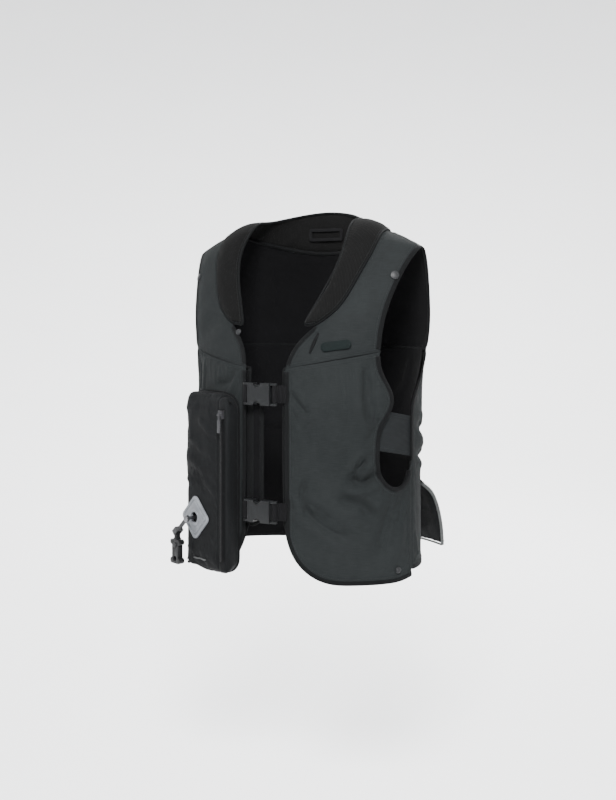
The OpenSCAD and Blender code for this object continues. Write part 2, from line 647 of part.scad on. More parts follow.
// Zip up the face beside the opening, with one slider and its pull
zip_u = pocket_u1 - pocket_round - 5;
zip_z0 = pocket_z + 22;
zip_z1 = pocket_z + pocket_h - 22;
track_w = 6;
track_t = 1.6;
slider_l = 12;
slider_v = zip_z1 - slider_l / 2 - 1;
slider_wall = 1.4;
track_n = 0.3 + slider_wall;
bail_n = track_n + track_t + fit_gap + slider_wall + 2;
bail_r = 0.8;
pull_w = 3;
pull_l = 26;
module zip_track() {
    color([0.05, 0.05, 0.05]) in_pocket() translate([zip_u - track_w / 2, zip_z0, track_n])
        cube([track_w, zip_z1 - zip_z0, track_t]);
}
module zip_slider() {
    inner = track_w + 2 * fit_gap;
    color(silver) in_pocket() translate([zip_u, slider_v, 0]) union() {
        difference() {
            translate([-inner / 2 - slider_wall, -slider_l / 2, track_n - slider_wall])
                cube([inner + 2 * slider_wall, slider_l, track_t + 2 * slider_wall + fit_gap]);
            translate([-inner / 2, -slider_l, track_n - fit_gap])
                cube([inner, 2 * slider_l, track_t + 2 * fit_gap]);
        }
        // bail that the pull hangs from
        for (s = [-1, 1]) translate([s * (pull_w / 2 + 1), -1.6, bail_n - 2.6]) translate([-0.5, 0, 0])
            cube([1, 3.2, 4.2]);
        translate([0, 0, bail_n]) rotate([0, 90, 0]) cylinder(r = bail_r, h = pull_w + 2.4, center = true);
    }
}
module zip_pull() {
    color(silver) in_pocket() translate([zip_u, slider_v, bail_n]) difference() {
        union() {
            rotate([0, 90, 0]) cylinder(r = bail_r + 1, h = pull_w, center = true);
            translate([-pull_w / 2, -pull_l, -0.8]) cube([pull_w, pull_l, 1.6]);
            translate([-pull_w, -pull_l, -0.8]) cube([2 * pull_w, pull_l - 8, 1.6]);
        }
        rotate([0, 90, 0]) cylinder(r = bail_r + 0.05, h = pull_w + 2, center = true);
    }
}

// Guard plate: a square on its corner, on the pocket's face round the key's exit
guard_t = 3;
guard_gap = 0.3;
guard_hole_r = key_ball_r + 3;
module guard_plate() {
    side = guard_w / sqrt(2) + 3;
    color([0.7, 0.71, 0.72]) in_pocket() translate([0, key_z, guard_gap]) difference() {
        union() {
            rotate([0, 0, 45]) linear_extrude(height = guard_t)
                offset(r = 7) square(side - 14, center = true);
            cylinder(r = guard_hole_r + 4, h = guard_t + 1.5);
        }
        translate([0, 0, -1]) cylinder(r = guard_hole_r, h = guard_t + 4);
        // moulded groove inside the rim
        translate([0, 0, guard_t - 1]) rotate([0, 0, 45]) linear_extrude(height = 2) difference() {
            offset(r = 5) square(side - 18, center = true);
            offset(r = 3.4) square(side - 19, center = true);
        }
    }
}

// Release key: ball in the key box, stem out through the plate, and a short strap with a
// fork at its end, which hangs to the wearer's right
key_head_n = guard_gap + guard_t + 12;
stem_r = 2.5;
head_r = stem_r + 2.5;
head_h = 5;
strap_u = -24;          // where the coupler's pin lies from the key
strap_v = -22;
cord_r = 3;
fork_back = 2;          // thickness of the fork's bridge
fork_t = 2.2;
lug_t = 7;
lug_r = 4;
pin_r = 1.6;
module release_key() {
    color("silver") in_pocket() translate([0, key_z, 0]) union() {
        translate([0, 0, axis_n]) sphere(r = key_ball_r);
        translate([0, 0, axis_n]) cylinder(r = stem_r, h = key_head_n - axis_n);
        translate([0, 0, key_head_n]) cylinder(r = head_r, h = head_h);
    }
}
module key_cord() {
    run = norm([strap_u, strap_v]) - lug_r - 3;
    plate = [2 * lug_r, lug_r + 3 + lug_r, fork_t];
    color("dimgray") in_pocket() translate([0, key_z, key_head_n + head_h / 2])
        rotate([0, 0, atan2(strap_v, strap_u) + 90]) union() {
            // the cord ends in a saddle on the key's head
            difference() {
                translate([0, -run, 0]) rotate([-90, 0, 0]) cylinder(r = cord_r, h = run);
                cylinder(r = head_r, h = 4 * cord_r, center = true);
            }
            translate([-lug_r, -run - fork_back, -lug_t / 2 - fit_gap - fork_t])
                cube([2 * lug_r, fork_back, lug_t + 2 * (fit_gap + fork_t)]);
            for (s = [-1, 1])
                translate([-lug_r, -run - plate[1], s * ((lug_t + fork_t) / 2 + fit_gap) - fork_t / 2])
                    cube(plate);
        }
}
module at_coupler() {
    in_pocket() translate([strap_u, key_z + strap_v, key_head_n + head_h / 2]) children();
}
module coupler_pin() {
    color("silver") at_coupler() cylinder(r = pin_r, h = lug_t + 2 * fit_gap, center = true);
}

// Coupler: a waisted snap body that hangs from the pin, with an eye at its foot
coupler_w = 24;
coupler_t = 9;
coupler_l = 48;
coupler_neck = 9;       // from the pin down to the body
button_r = 4;
button_v = -20;
eye_v = -coupler_l + 7.5;
module coupler_outline() {
    hull() for (s = [-1, 1]) translate([s * (coupler_w / 2 - 4), -coupler_neck - 7]) circle(r = 4);
    hull() {
        translate([0, -coupler_neck - 4]) circle(r = 4);
        translate([0, -coupler_neck - 16]) circle(r = 7.5);
    }
    hull() {
        translate([0, -coupler_neck - 10]) circle(r = 7.5);
        translate([0, eye_v]) circle(r = 7.5);
    }
    hull() for (s = [-1, 1]) translate([s * (coupler_w / 2 - 4.5), -coupler_l + 4.5]) circle(r = 4.5);
}
module coupler_body() {
    color(plastic_black) at_coupler() difference() {
        union() {
            cylinder(r = lug_r, h = lug_t, center = true);
            translate([-3, -coupler_neck - 4, -lug_t / 2]) cube([6, coupler_neck + 4, lug_t]);
            translate([0, 0, -coupler_t / 2]) linear_extrude(height = coupler_t) coupler_outline();
        }
        cylinder(r = pin_r + 0.05, h = 3 * lug_t, center = true);
        translate([0, eye_v, -10]) cylinder(r = eye_r, h = 20);
        translate([0, button_v, coupler_t / 2 - 3.2]) cylinder(r = button_r + fit_gap, h = 10);
    }
}
module coupler_button() {
    color([0.2, 0.2, 0.2]) at_coupler() translate([0, button_v, coupler_t / 2 - 1.5])
        cylinder(r = button_r, h = 3);
}

// ---------------------------------------------------------------- rear flap
flap_top_z = 128;
flap_edge = 5;          // the flap's distance from the back along its sewn edge
flap_narrow = 0.12;     // share of flap_out that is lost at the sides
flap_rows = 6;
flap_cols = 14;
// Rows of the flap from its free edge up, moved out by off
function flap_grid(off) = [for (i = [0:flap_rows]) [for (j = [0:flap_cols])
    let (u = 1 - 2 * j / flap_cols, k = i / flap_rows,
         out = flap_edge + flap_out * sqrt(1 - k * k) * (1 - flap_narrow * u * u))
    skin_x(u * flap_half_w, mix(flap_top_z - flap_h, flap_top_z, k), 1, out + off)]];
module rear_flap() { color(black) sheet(flap_grid(flap_t), flap_grid(0)); }
// The tape lies on the flap's own rows and columns, and ends short of its sides
tape_w = 20;
tape_t = 0.8;
tape_from = 1.7;        // where it starts, in rows of the flap
tape_short = 0.3;       // how far it stops short of the side, in columns
function flap_row(grid, s) =
    let (i = floor(s)) [for (j = [0:flap_cols]) mix(grid[i][j], grid[i + 1][j], s - i)];
function tape_row(r) = [for (j = [0:flap_cols])
    j == 0 ? mix(r[0], r[1], tape_short) :
    j == flap_cols ? mix(r[j], r[j - 1], tape_short) : r[j]];
module rear_flap_tape() {
    tape_to = tape_from + tape_w / flap_h * flap_rows;
    steps = concat([tape_from], [for (i = [ceil(tape_from):floor(tape_to)]) i], [tape_to]);
    low = flap_grid(flap_t + layer_gap);
    high = flap_grid(flap_t + layer_gap + tape_t);
    color([0.7, 0.72, 0.72])
        sheet([for (s = steps) tape_row(flap_row(high, s))], [for (s = steps) tape_row(flap_row(low, s))]);
}

// ---------------------------------------------------------------- small fittings
snap_r = 6;
small_snap_r = 4.5;
// The neck snap lies on the right yoke, below the collar's end and clear of the neckline
neck_snap_w = 0.21;
neck_snap_in = 5.5;
neck_snap_x = neck_x(neck_snap_w) + neck_snap_in + small_snap_r;
neck_snap_z = mix(seam_z(neck_snap_x), ridge_z(neck_snap_x), neck_snap_w);
snap_rim = 1.6;         // height of a snap's rim, and of the cap on it
snap_cap = 0.8;
hem_snap_t = 71;        // place of the hem's snaps, as an angle and a height
hem_snap_z = hem_rise + 3;
module snap(r) {
    cylinder(r = r, h = snap_rim);
    translate([0, 0, snap_rim]) cylinder(r = r * 0.7, h = snap_cap);
}
module shoulder_snaps() {
    x = 0.885 * shoulder_half_w;
    color("dimgray") for (s = [-1, 1]) on_skin_x(s * x, ridge_z(x) - 54, -1, fit_gap) snap(snap_r);
}
module small_snaps() {
    color("dimgray") {
        for (s = [-1, 1]) on_skin(s * hem_snap_t, hem_snap_z, fit_gap) snap(small_snap_r);
        on_skin_x(-neck_snap_x, neck_snap_z, -1, fit_gap) snap(small_snap_r);
    }
}
patch_l = 44;
patch_h = 13;
patch_t = 1.6;
patch_x = 104;
patch_tilt = 8;
module chest_patch() {
    color([0.03, 0.06, 0.06]) on_skin_x(patch_x, yoke_z + 33, -1, 1.2) rotate([0, 0, patch_tilt])
        linear_extrude(height = patch_t) hull() for (s = [-1, 1])
            translate([s * (patch_l - patch_h) / 2, 0]) circle(r = patch_h / 2);
}
// Loop inside the collar that the vest hangs from
loop_w = 60;
loop_h = 20;
loop_t = 2;
loop_r = 4;             // radius of its corners
loop_band = 5;          // width of the tape that it is made of
loop_in = 5.5;          // how far its middle lies inside the neckline
module hang_loop() {
    color("black") translate([0, neck_ry - loop_in, collar_back_z - 34]) rotate([90, 0, 0])
        linear_extrude(height = loop_t, center = true) difference() {
            offset(r = loop_r) square([loop_w - 2 * loop_r, loop_h - 2 * loop_r], center = true);
            square([loop_w - 2 * loop_band, loop_h - 2 * loop_band], center = true);
        }
}

left_front_panel();
right_front_panel();
back_panel();
left_yoke();
right_yoke();
back_yoke();
collar();
left_lining();
right_lining();
back_lining();
front_underflap();
left_air_cell();
right_air_cell();
back_air_cell();
left_side_strap();
right_side_strap();
upper_socket();
upper_plug();
upper_prong_top();
upper_prong_bottom();
lower_socket();
lower_plug();
lower_prong_top();
lower_prong_bottom();
upper_left_webbing();
upper_right_webbing();
lower_left_webbing();
lower_right_webbing();
pocket_cover();
pocket_backing();
zip_track();
zip_slider();
zip_pull();
gas_cartridge();
key_box();
gas_hose();
hose_port();
guard_plate();
release_key();
key_cord();
coupler_pin();
coupler_body();
coupler_button();
rear_flap();
rear_flap_tape();
shoulder_snaps();
small_snaps();
chest_patch();
hang_loop();
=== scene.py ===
"""Inflatable safety vest: fabric, padding, stitching, fittings and light round the CAD frame."""
import json
import math

import bmesh
import bpy
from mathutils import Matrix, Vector, noise
from mathutils.bvhtree import BVHTree
from mathutils.kdtree import KDTree


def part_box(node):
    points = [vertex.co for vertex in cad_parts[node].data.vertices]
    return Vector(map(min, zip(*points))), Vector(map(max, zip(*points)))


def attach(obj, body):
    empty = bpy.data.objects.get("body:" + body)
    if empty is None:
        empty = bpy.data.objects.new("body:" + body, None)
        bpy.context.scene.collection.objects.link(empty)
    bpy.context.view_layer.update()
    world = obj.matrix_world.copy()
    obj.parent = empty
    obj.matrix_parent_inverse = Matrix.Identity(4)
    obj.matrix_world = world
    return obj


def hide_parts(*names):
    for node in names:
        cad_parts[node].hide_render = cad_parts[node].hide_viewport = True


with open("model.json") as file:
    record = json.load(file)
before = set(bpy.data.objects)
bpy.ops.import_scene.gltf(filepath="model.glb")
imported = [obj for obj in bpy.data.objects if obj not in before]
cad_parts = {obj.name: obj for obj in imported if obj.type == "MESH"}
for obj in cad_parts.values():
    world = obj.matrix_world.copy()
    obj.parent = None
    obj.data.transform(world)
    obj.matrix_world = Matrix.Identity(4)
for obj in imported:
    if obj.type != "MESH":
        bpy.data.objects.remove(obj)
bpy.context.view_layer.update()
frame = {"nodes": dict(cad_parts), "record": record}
NODES = frame["nodes"]
RECORD = frame["record"]
BODY_OF = {n: b for b, names in RECORD["behaviour"]["bodies"].items() for n in names}
SLOT_OF = {s["node"]: s["material_slot"] for s in RECORD["subparts"]}
JOINT = {j["name"]: j for j in RECORD["behaviour"]["joints"]}
UP = Vector((0, 0, 1))


def middle(node):
    low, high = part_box(node)
    return (low + high) / 2


# The pocket's own directions: out of its face, and along its face towards the opening
OUT = Vector(JOINT["key_pull"]["axis"]).normalized()
ALONG = OUT.cross(UP).normalized() * -1
KEY = middle("guard_plate")


# ------------------------------------------------------------------ camera
CAMERA_TURN = math.radians(30)
CAMERA_AWAY = 1.75
EYE_LEVEL = 0.40
LENS_MM = 51.3
SHIFT_UP = -0.1225


def make_camera():
    data = bpy.data.cameras.new("camera")
    cam = bpy.data.objects.new("camera", data)
    bpy.context.scene.collection.objects.link(cam)
    back = Vector((math.sin(CAMERA_TURN), -math.cos(CAMERA_TURN), 0))
    cam.location = back * CAMERA_AWAY + UP * EYE_LEVEL
    cam.rotation_euler = (-back).to_track_quat("-Z", "Y").to_euler()
    data.lens = LENS_MM
    data.shift_y = SHIFT_UP
    bpy.context.scene.camera = cam


make_camera()


# ------------------------------------------------------------------ materials
class Shader:
    """A Principled material with short ways to add nodes."""

    def __init__(self, name, rough, metal=0.0, sheen=0.0, coat=0.0, spec=0.5):
        self.mat = bpy.data.materials.new(name)
        self.mat.use_nodes = True
        self.tree = self.mat.node_tree
        self.bsdf = self.tree.nodes["Principled BSDF"]
        self.set("Metallic", metal)
        self.set("Roughness", rough)
        self.set("Sheen Weight", sheen)
        self.set("Sheen Roughness", 0.45)
        self.set("Coat Weight", coat)
        self.set("Specular IOR Level", spec)

    def set(self, socket, value):
        self.bsdf.inputs[socket].default_value = value

    def add(self, kind, **inputs):
        node = self.tree.nodes.new(kind)
        for name, value in inputs.items():
            self.feed(node, name, value)
        return node

    def feed(self, node, name, value):
        socket = node.inputs[int(name[1:])] if name[0] == "i" and name[1:].isdigit() else node.inputs[name]
        if isinstance(value, bpy.types.NodeSocket):
            self.tree.links.new(value, socket)
        else:
            socket.default_value = value

    def math(self, operation, a, b=0.0):
        node = self.add("ShaderNodeMath", i0=a, i1=b)
        node.operation = operation
        return node.outputs[0]

    def coords(self, kind, scale=(1, 1, 1), turn=0.0):
        source = self.add("ShaderNodeTexCoord").outputs[kind]
        node = self.add("ShaderNodeMapping", Vector=source)
        node.inputs["Scale"].default_value = scale
        node.inputs["Rotation"].default_value = (0, 0, turn)
        return node.outputs[0]

    def noise(self, vector, scale, detail=3.0, rough=0.55):
        node = self.add("ShaderNodeTexNoise", Vector=vector, Scale=scale, Detail=detail, Roughness=rough)
        return node.outputs["Fac"]

    def wave(self, vector, direction, pitch):
        """Bands across one direction, pitch metres apart."""
        node = self.add("ShaderNodeTexWave", Vector=vector, Scale=math.pi / 10 / pitch)
        node.bands_direction = direction
        return node.outputs["Fac"]

    def ramp(self, value, low, high, start=0.0, end=1.0):
        node = self.add("ShaderNodeMapRange", Value=value)
        for name, number in (("From Min", start), ("From Max", end), ("To Min", low), ("To Max", high)):
            node.inputs[name].default_value = number
        return node.outputs[0]

    def mix(self, amount, first, second):
        node = self.tree.nodes.new("ShaderNodeMix")
        node.data_type = "RGBA"
        self.feed(node, "i0", amount)
        for index, value in ((6, first), (7, second)):
            if isinstance(value, bpy.types.NodeSocket):
                self.tree.links.new(value, node.inputs[index])
            else:
                node.inputs[index].default_value = (*value, 1.0)
        return node.outputs[2]

    def colour(self, value):
        self.tree.links.new(value, self.bsdf.inputs["Base Color"])

    def roughness(self, value):
        self.tree.links.new(value, self.bsdf.inputs["Roughness"])

    def bump(self, layers):
        """layers: (height socket, strength, distance in metres), the coarsest first."""
        normal = None
        for height, strength, distance in layers:
            node = self.add("ShaderNodeBump", Height=height, Strength=strength, Distance=distance)
            if normal is not None:
                self.tree.links.new(normal, node.inputs["Normal"])
            normal = node.outputs[0]
        self.tree.links.new(normal, self.bsdf.inputs["Normal"])


def times(colour, factor):
    return tuple(min(1.0, factor * c) for c in colour)


def woven(name, dark, light, thread, rough=0.62, sheen=0.01, crinkle=0.45, spec=0.04):
    """Woven cloth. thread is the thread's pitch in metres, and UVs are in metres."""
    s = Shader(name, rough, sheen=sheen, spec=spec)
    uv = s.coords("UV")
    weave = s.math("MULTIPLY", s.wave(uv, "X", thread), s.wave(uv, "Y", thread))
    place = s.coords("Object")
    broad = s.noise(place, 8, 4, 0.6)
    fine = s.noise(place, 120, 4, 0.6)
    slub = s.noise(s.coords("UV", (70, 1100, 1)), 1, 2)
    shade = s.mix(s.ramp(broad, 0.0, 1.0, 0.3, 0.7), dark, light)
    faded = s.mix(s.ramp(slub, 0.0, 0.5, 0.35, 0.8), shade, times(light, 1.45))
    s.colour(s.mix(s.ramp(weave, 0.0, 0.45), faded, times(dark, 0.4)))
    s.roughness(s.ramp(fine, rough - 0.1, rough + 0.12))
    s.bump([(fine, crinkle, 0.0011), (weave, 0.6, thread * 0.4)])
    return s.mat


def knitted(name, dark, light, pitch, depth, ribs=0.0):
    """Knitted mesh: rows of small round holes, and soft ribs where ribs is their pitch."""
    s = Shader(name, 0.9, sheen=0.01, spec=0.04)
    uv = s.coords("UV", (1 / pitch, 1 / pitch, 1))
    cell = s.add("ShaderNodeTexVoronoi", Vector=uv, Scale=1.0, Randomness=0.12)
    hole = s.ramp(cell.outputs["Distance"], 0.0, 1.0, 0.1, 0.5)
    place = s.coords("Object")
    shade = s.mix(s.noise(place, 14, 3), dark, light)
    layers = [(s.noise(place, 60, 3), 0.35, 0.001), (hole, 0.5, depth)]
    if ribs:
        rib = s.wave(s.coords("UV"), "X", ribs)
        # Painted shade: darker in the valleys between the ribs, where the bump is low.
        shade = s.mix(s.ramp(rib, 0.3, 0.0), shade, times(dark, 0.7))
        layers.insert(1, (rib, 0.4, ribs * 0.15))
    # Painted shade: the holes are coloured darker, standing in for the shaded hollows of the knit.
    s.colour(s.mix(hole, times(dark, 0.55), shade))
    s.bump(layers)
    return s.mat


def ribbed(name, dark, light, pitch, direction="X", rough=0.62):
    """Webbing, elastic and grosgrain: ribs one way and fine picks the other."""
    s = Shader(name, rough + 0.1, sheen=0.01, spec=0.05)
    uv = s.coords("UV")
    rib = s.wave(uv, direction, pitch)
    pick = s.wave(uv, "Y" if direction == "X" else "X", pitch / 2.6)
    place = s.coords("Object")
    shade = s.mix(s.noise(place, 40, 3), dark, light)
    # Painted shade: the colour is darker in the valleys between the ribs, where the bump is low.
    s.colour(s.mix(s.ramp(rib, 0.6, 0.0), shade, times(dark, 0.35)))
    s.bump([(s.noise(place, 90, 3), 0.3, 0.0008), (rib, 0.9, pitch * 0.3), (pick, 0.5, pitch * 0.12)])
    return s.mat


def moulded(name, dark, light, rough=0.42, metal=0.0, depth=0.0001, coat=0.0, spec=0.16, paler_edge=0.35):
    """Moulded plastic, rubber or cast metal with a fine grain and paler colour on its sharp convex edges."""
    s = Shader(name, rough, metal=metal, coat=coat, spec=spec)
    place = s.coords("Object")
    fine = s.noise(place, 900, 2)
    patch = s.noise(place, 55, 4)
    scuff = s.noise(s.coords("Object", (40, 220, 40)), 3, 4, 0.65)
    # Paler colour on sharp convex edges, found from pointiness; paler_edge sets how far it goes towards the light
    # shade.
    edge = s.ramp(s.add("ShaderNodeNewGeometry").outputs["Pointiness"], 0.0, paler_edge, 0.52, 0.6)
    shade = s.mix(s.ramp(patch, 0.0, 1.0, 0.3, 0.7), dark, light)
    shade = s.mix(s.ramp(scuff, 0.0, 0.4, 0.62, 0.75), shade, times(light, 1.6))
    s.colour(s.mix(edge, shade, times(light, 1.7)))
    s.roughness(s.ramp(patch, rough - 0.1, rough + 0.12))
    s.bump([(patch, 0.1, 0.0006), (fine, 0.3, depth)])
    return s.mat


def reflective(name, dark, light):
    """Glass-bead tape: pale grey cloth with a fine diamond press."""
    s = Shader(name, 0.55, sheen=0.02, spec=0.2)
    turned = s.coords("UV", turn=math.radians(45))
    press = s.math("MAXIMUM", s.wave(turned, "X", 0.0024), s.wave(turned, "Y", 0.0024))
    place = s.coords("Object")
    s.colour(s.mix(s.ramp(press, 0.0, 0.25), s.mix(s.noise(place, 60, 4), dark, light), times(dark, 0.5)))
    s.bump([(press, 0.6, 0.0002), (s.noise(place, 1500, 2), 0.4, 0.0001)])
    return s.mat


MATERIALS = {
    "shell_nylon": woven("shell_nylon", (0.0068, 0.0078, 0.008), (0.0108, 0.0122, 0.0125), 0.0006, 0.75, spec=0.04),
    "yoke_nylon": woven("yoke_nylon", (0.0066, 0.0075, 0.0078), (0.0104, 0.0117, 0.012), 0.0006, 0.72, spec=0.04),
    "binding": ribbed("binding", (0.0035, 0.0037, 0.004), (0.0055, 0.006, 0.0063), 0.0011, "X"),
    "collar_mesh": knitted("collar_mesh", (0.0034, 0.0034, 0.0034), (0.006, 0.006, 0.006), 0.0011, 0.0003, 0.0045),
    "lining_mesh": knitted("lining_mesh", (0.0025, 0.0025, 0.0028), (0.0045, 0.0045, 0.005), 0.0016, 0.0004),
    "air_cell_film": moulded("air_cell_film", (0.012, 0.012, 0.013), (0.018, 0.018, 0.019), 0.35),
    "elastic": ribbed("elastic", (0.0085, 0.0095, 0.01), (0.013, 0.0145, 0.0155), 0.0017, "Y"),
    "webbing": ribbed("webbing", (0.0035, 0.0035, 0.004), (0.007, 0.007, 0.0075), 0.0016, "X"),
    "buckle_plastic": moulded("buckle_plastic", (0.0032, 0.0035, 0.0038), (0.006, 0.0064, 0.0068), 0.36, coat=0.02),
    "pocket_nylon": woven("pocket_nylon", (0.0036, 0.0038, 0.0041), (0.0058, 0.0062, 0.0066), 0.0007, 0.7, 0.01, 0.6,
                          0.04),
    "zip_metal": moulded("zip_metal", (0.022, 0.022, 0.024), (0.042, 0.042, 0.045), 0.32, 0.6),
    "zip_tape": ribbed("zip_tape", (0.003, 0.003, 0.0033), (0.0055, 0.0055, 0.006), 0.0012, "Y"),
    "cartridge_steel": moulded("cartridge_steel", (0.3, 0.31, 0.33), (0.4, 0.42, 0.44), 0.35, 0.9),
    "key_box_alloy": moulded("key_box_alloy", (0.15, 0.15, 0.16), (0.2, 0.2, 0.21), 0.4, 0.9),
    "hose_rubber": moulded("hose_rubber", (0.005, 0.005, 0.005), (0.009, 0.009, 0.009), 0.6),
    "guard_plastic": moulded("guard_plastic", (0.085, 0.09, 0.098), (0.135, 0.142, 0.152), 0.36, paler_edge=0.6),
    "key_steel": moulded("key_steel", (0.12, 0.12, 0.125), (0.2, 0.2, 0.21), 0.3, 1.0),
    "key_strap": moulded("key_strap", (0.02, 0.02, 0.021), (0.035, 0.035, 0.037), 0.55),
    "coupler_plastic": moulded("coupler_plastic", (0.0035, 0.0035, 0.0038), (0.007, 0.007, 0.0075), 0.34),
    "button_plastic": moulded("button_plastic", (0.01, 0.01, 0.0105), (0.017, 0.017, 0.018), 0.42),
    "reflective_tape": reflective("reflective_tape", (0.03, 0.032, 0.032), (0.055, 0.057, 0.057)),
    "snap_metal": moulded("snap_metal", (0.008, 0.0083, 0.009), (0.013, 0.0135, 0.0145), 0.4),
    "patch_rubber": moulded("patch_rubber", (0.0018, 0.0032, 0.0032), (0.003, 0.005, 0.005), 0.7, spec=0.06, paler_edge=0.6),
    "thread": moulded("thread", (0.005, 0.0057, 0.006), (0.009, 0.0103, 0.0107), 0.7, paler_edge=0.0),
}


# ------------------------------------------------------------------ mesh tools
def piece(name, bm, body, slot, replaces=(), materials=None, sharp=None):
    """A finished mesh as an object that rides on a body."""
    mesh = bpy.data.meshes.new(name)
    bm.to_mesh(mesh)
    bm.free()
    obj = bpy.data.objects.new(name, mesh)
    bpy.context.scene.collection.objects.link(obj)
    for face in mesh.polygons:
        face.use_smooth = True
    if sharp:
        mesh.set_sharp_from_angle(angle=sharp)
    for key in materials or [slot]:
        mesh.materials.append(MATERIALS[key])
    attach(obj, body)
    if replaces:
        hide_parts(*replaces)
    return obj


def welded(node):
    bm = bmesh.new()
    bm.from_mesh(NODES[node].data)
    bmesh.ops.remove_doubles(bm, verts=bm.verts, dist=1e-5)
    bm.normal_update()
    return bm


def modified(bm, *modifiers):
    """The mesh after some modifiers, each (kind, settings)."""
    mesh = bpy.data.meshes.new("work")
    bm.to_mesh(mesh)
    bm.free()
    obj = bpy.data.objects.new("work", mesh)
    bpy.context.scene.collection.objects.link(obj)
    for kind, settings in modifiers:
        modifier = obj.modifiers.new(kind, kind)
        for key, value in settings.items():
            setattr(modifier, key, value)
    out = bmesh.new()
    out.from_object(obj, bpy.context.evaluated_depsgraph_get())
    bpy.data.objects.remove(obj)
    bpy.data.meshes.remove(mesh)
    out.normal_update()
    return out


def subdivided(bm, levels):
    return modified(bm, ("SUBSURF", {"levels": levels, "boundary_smooth": "PRESERVE_CORNERS"}))


def quads(bm):
    bmesh.ops.join_triangles(
        bm, faces=bm.faces, angle_face_threshold=math.radians(50), angle_shape_threshold=math.radians(70)
    )
    return bm


SHARP = math.radians(48)
INSIDE = Vector((0, 0, 0.3))


def outer_skin(node, inner=False):
    """The face of a CAD sheet that is turned away from the wearer, or towards them, as quads."""
    bm = welded(node)
    sign = -1 if inner else 1
    group, best, best_score = {}, None, -1e9
    for start in bm.faces:
        if start in group:
            continue
        number, stack, score = len(group), [start], 0.0
        group[start] = number
        while stack:
            face = stack.pop()
            away = (face.calc_center_median() - INSIDE).normalized()
            score += face.calc_area() * face.normal.dot(away) * sign
            for edge in face.edges:
                for other in edge.link_faces:
                    if other not in group and face.normal.angle(other.normal, 0) < SHARP:
                        group[other] = number
                        stack.append(other)
        if score > best_score:
            best, best_score = number, score
    gone = [f for f in bm.faces if group[f] != best]
    bmesh.ops.delete(bm, geom=gone, context="FACES")
    return quads(bm)


def turn_of(p):
    """Angle round the body from the front centre, growing to the wearer's left, in degrees."""
    return math.degrees(math.atan2(p.x, -p.y))


BODY_RADIUS = 0.155


def add_uv(bm, across=None, up=None):
    """UVs in metres: round the body and up it, or along two given directions."""
    layer = bm.loops.layers.uv.verify()
    for face in bm.faces:
        centre = turn_of(face.calc_center_median())
        for loop in face.loops:
            p = loop.vert.co
            if across is None:
                turn = turn_of(p)
                turn += 360 * round((centre - turn) / 360)
                loop[layer].uv = (math.radians(turn) * BODY_RADIUS, p.z)
            else:
                loop[layer].uv = (p.dot(across), p.dot(up))


def smooth_step(u):
    u = min(1.0, max(0.0, u))
    return u * u * (3 - 2 * u)


def tree_of(points):
    tree = KDTree(max(1, len(points)))
    for index, point in enumerate(points):
        tree.insert(point, index)
    tree.balance()
    return tree


def rim_loops(bm, step):
    """Each boundary loop as evenly spaced (point, normal, inward direction)."""
    following = {}
    for edge in bm.edges:
        if edge.is_boundary:
            loop = edge.link_loops[0]
            following[loop.vert] = loop.link_loop_next.vert
    result = []
    while following:
        vert, chain = next(iter(following)), []
        while vert in following:
            after = following.pop(vert)
            chain.append((vert, after))
            vert = after
        points, carry = [], 0.0
        for a, b in chain:
            length = (b.co - a.co).length
            if length < 1e-9:
                continue
            along = (b.co - a.co) / length
            while carry <= length:
                normal = a.normal.lerp(b.normal, carry / length).normalized()
                points.append((a.co + along * carry, normal, normal.cross(along).normalized()))
                carry += step
            carry -= length
        result.append(points)
    return result


def edge_distance(bm, step=0.003):
    """For each vertex, how far it is from the sheet's boundary."""
    tree = tree_of([item[0] for loop in rim_loops(bm, step) for item in loop])
    return {v: tree.find(v.co)[2] for v in bm.verts}


def runs(points, keep):
    """Splits a closed loop into the stretches whose points pass keep: (run, closed)."""
    passed = [keep(item[0]) for item in points]
    if all(passed):
        return [(points, True)]
    start = passed.index(False)
    out, run = [], []
    for k in range(len(points)):
        index = (start + k) % len(points)
        if passed[index]:
            run.append(points[index])
        elif run:
            out.append((run, False))
            run = []
    if run:
        out.append((run, False))
    return [item for item in out if len(item[0]) > 3]


def folds(p, stretch, size, seed):
    """Ridged noise, drawn out along some directions: about -1 to 1."""
    q = Vector((p.x / stretch[0], p.y / stretch[1], p.z / stretch[2])) / size + Vector((seed, 0, seed))
    return 1 - 3.2 * abs(noise.noise(q + noise.noise_vector(q * 0.7) * 0.6))


CREASE = 2.0


def crease_depth(place, creases):
    """Depth of a set of creases at a place (degrees round, metres up). Each crease is
    (points along it, width in metres, depth in metres), with a low lip on both sides."""
    total = 0.0
    for points, width, depth in creases:
        best, share = 1e9, 0.0
        for k in range(len(points) - 1):
            ax, ay = math.radians(points[k][0]) * BODY_RADIUS, points[k][1]
            bx, by = math.radians(points[k + 1][0]) * BODY_RADIUS, points[k + 1][1]
            px, py = math.radians(place[0]) * BODY_RADIUS, place[1]
            dx, dy = bx - ax, by - ay
            u = min(1.0, max(0.0, ((px - ax) * dx + (py - ay) * dy) / (dx * dx + dy * dy)))
            away = math.hypot(px - ax - dx * u, py - ay - dy * u)
            if away < best:
                best, share = away, (k + u) / (len(points) - 1)
        if best > 4 * width:
            continue
        fade = smooth_step(0.25 + 3 * min(share, 1 - share))
        valley = math.exp(-((best / width) ** 2))
        lip = math.exp(-(((best - 1.9 * width) / width) ** 2))
        total += CREASE * depth * fade * (0.45 * lip - valley)
    return total


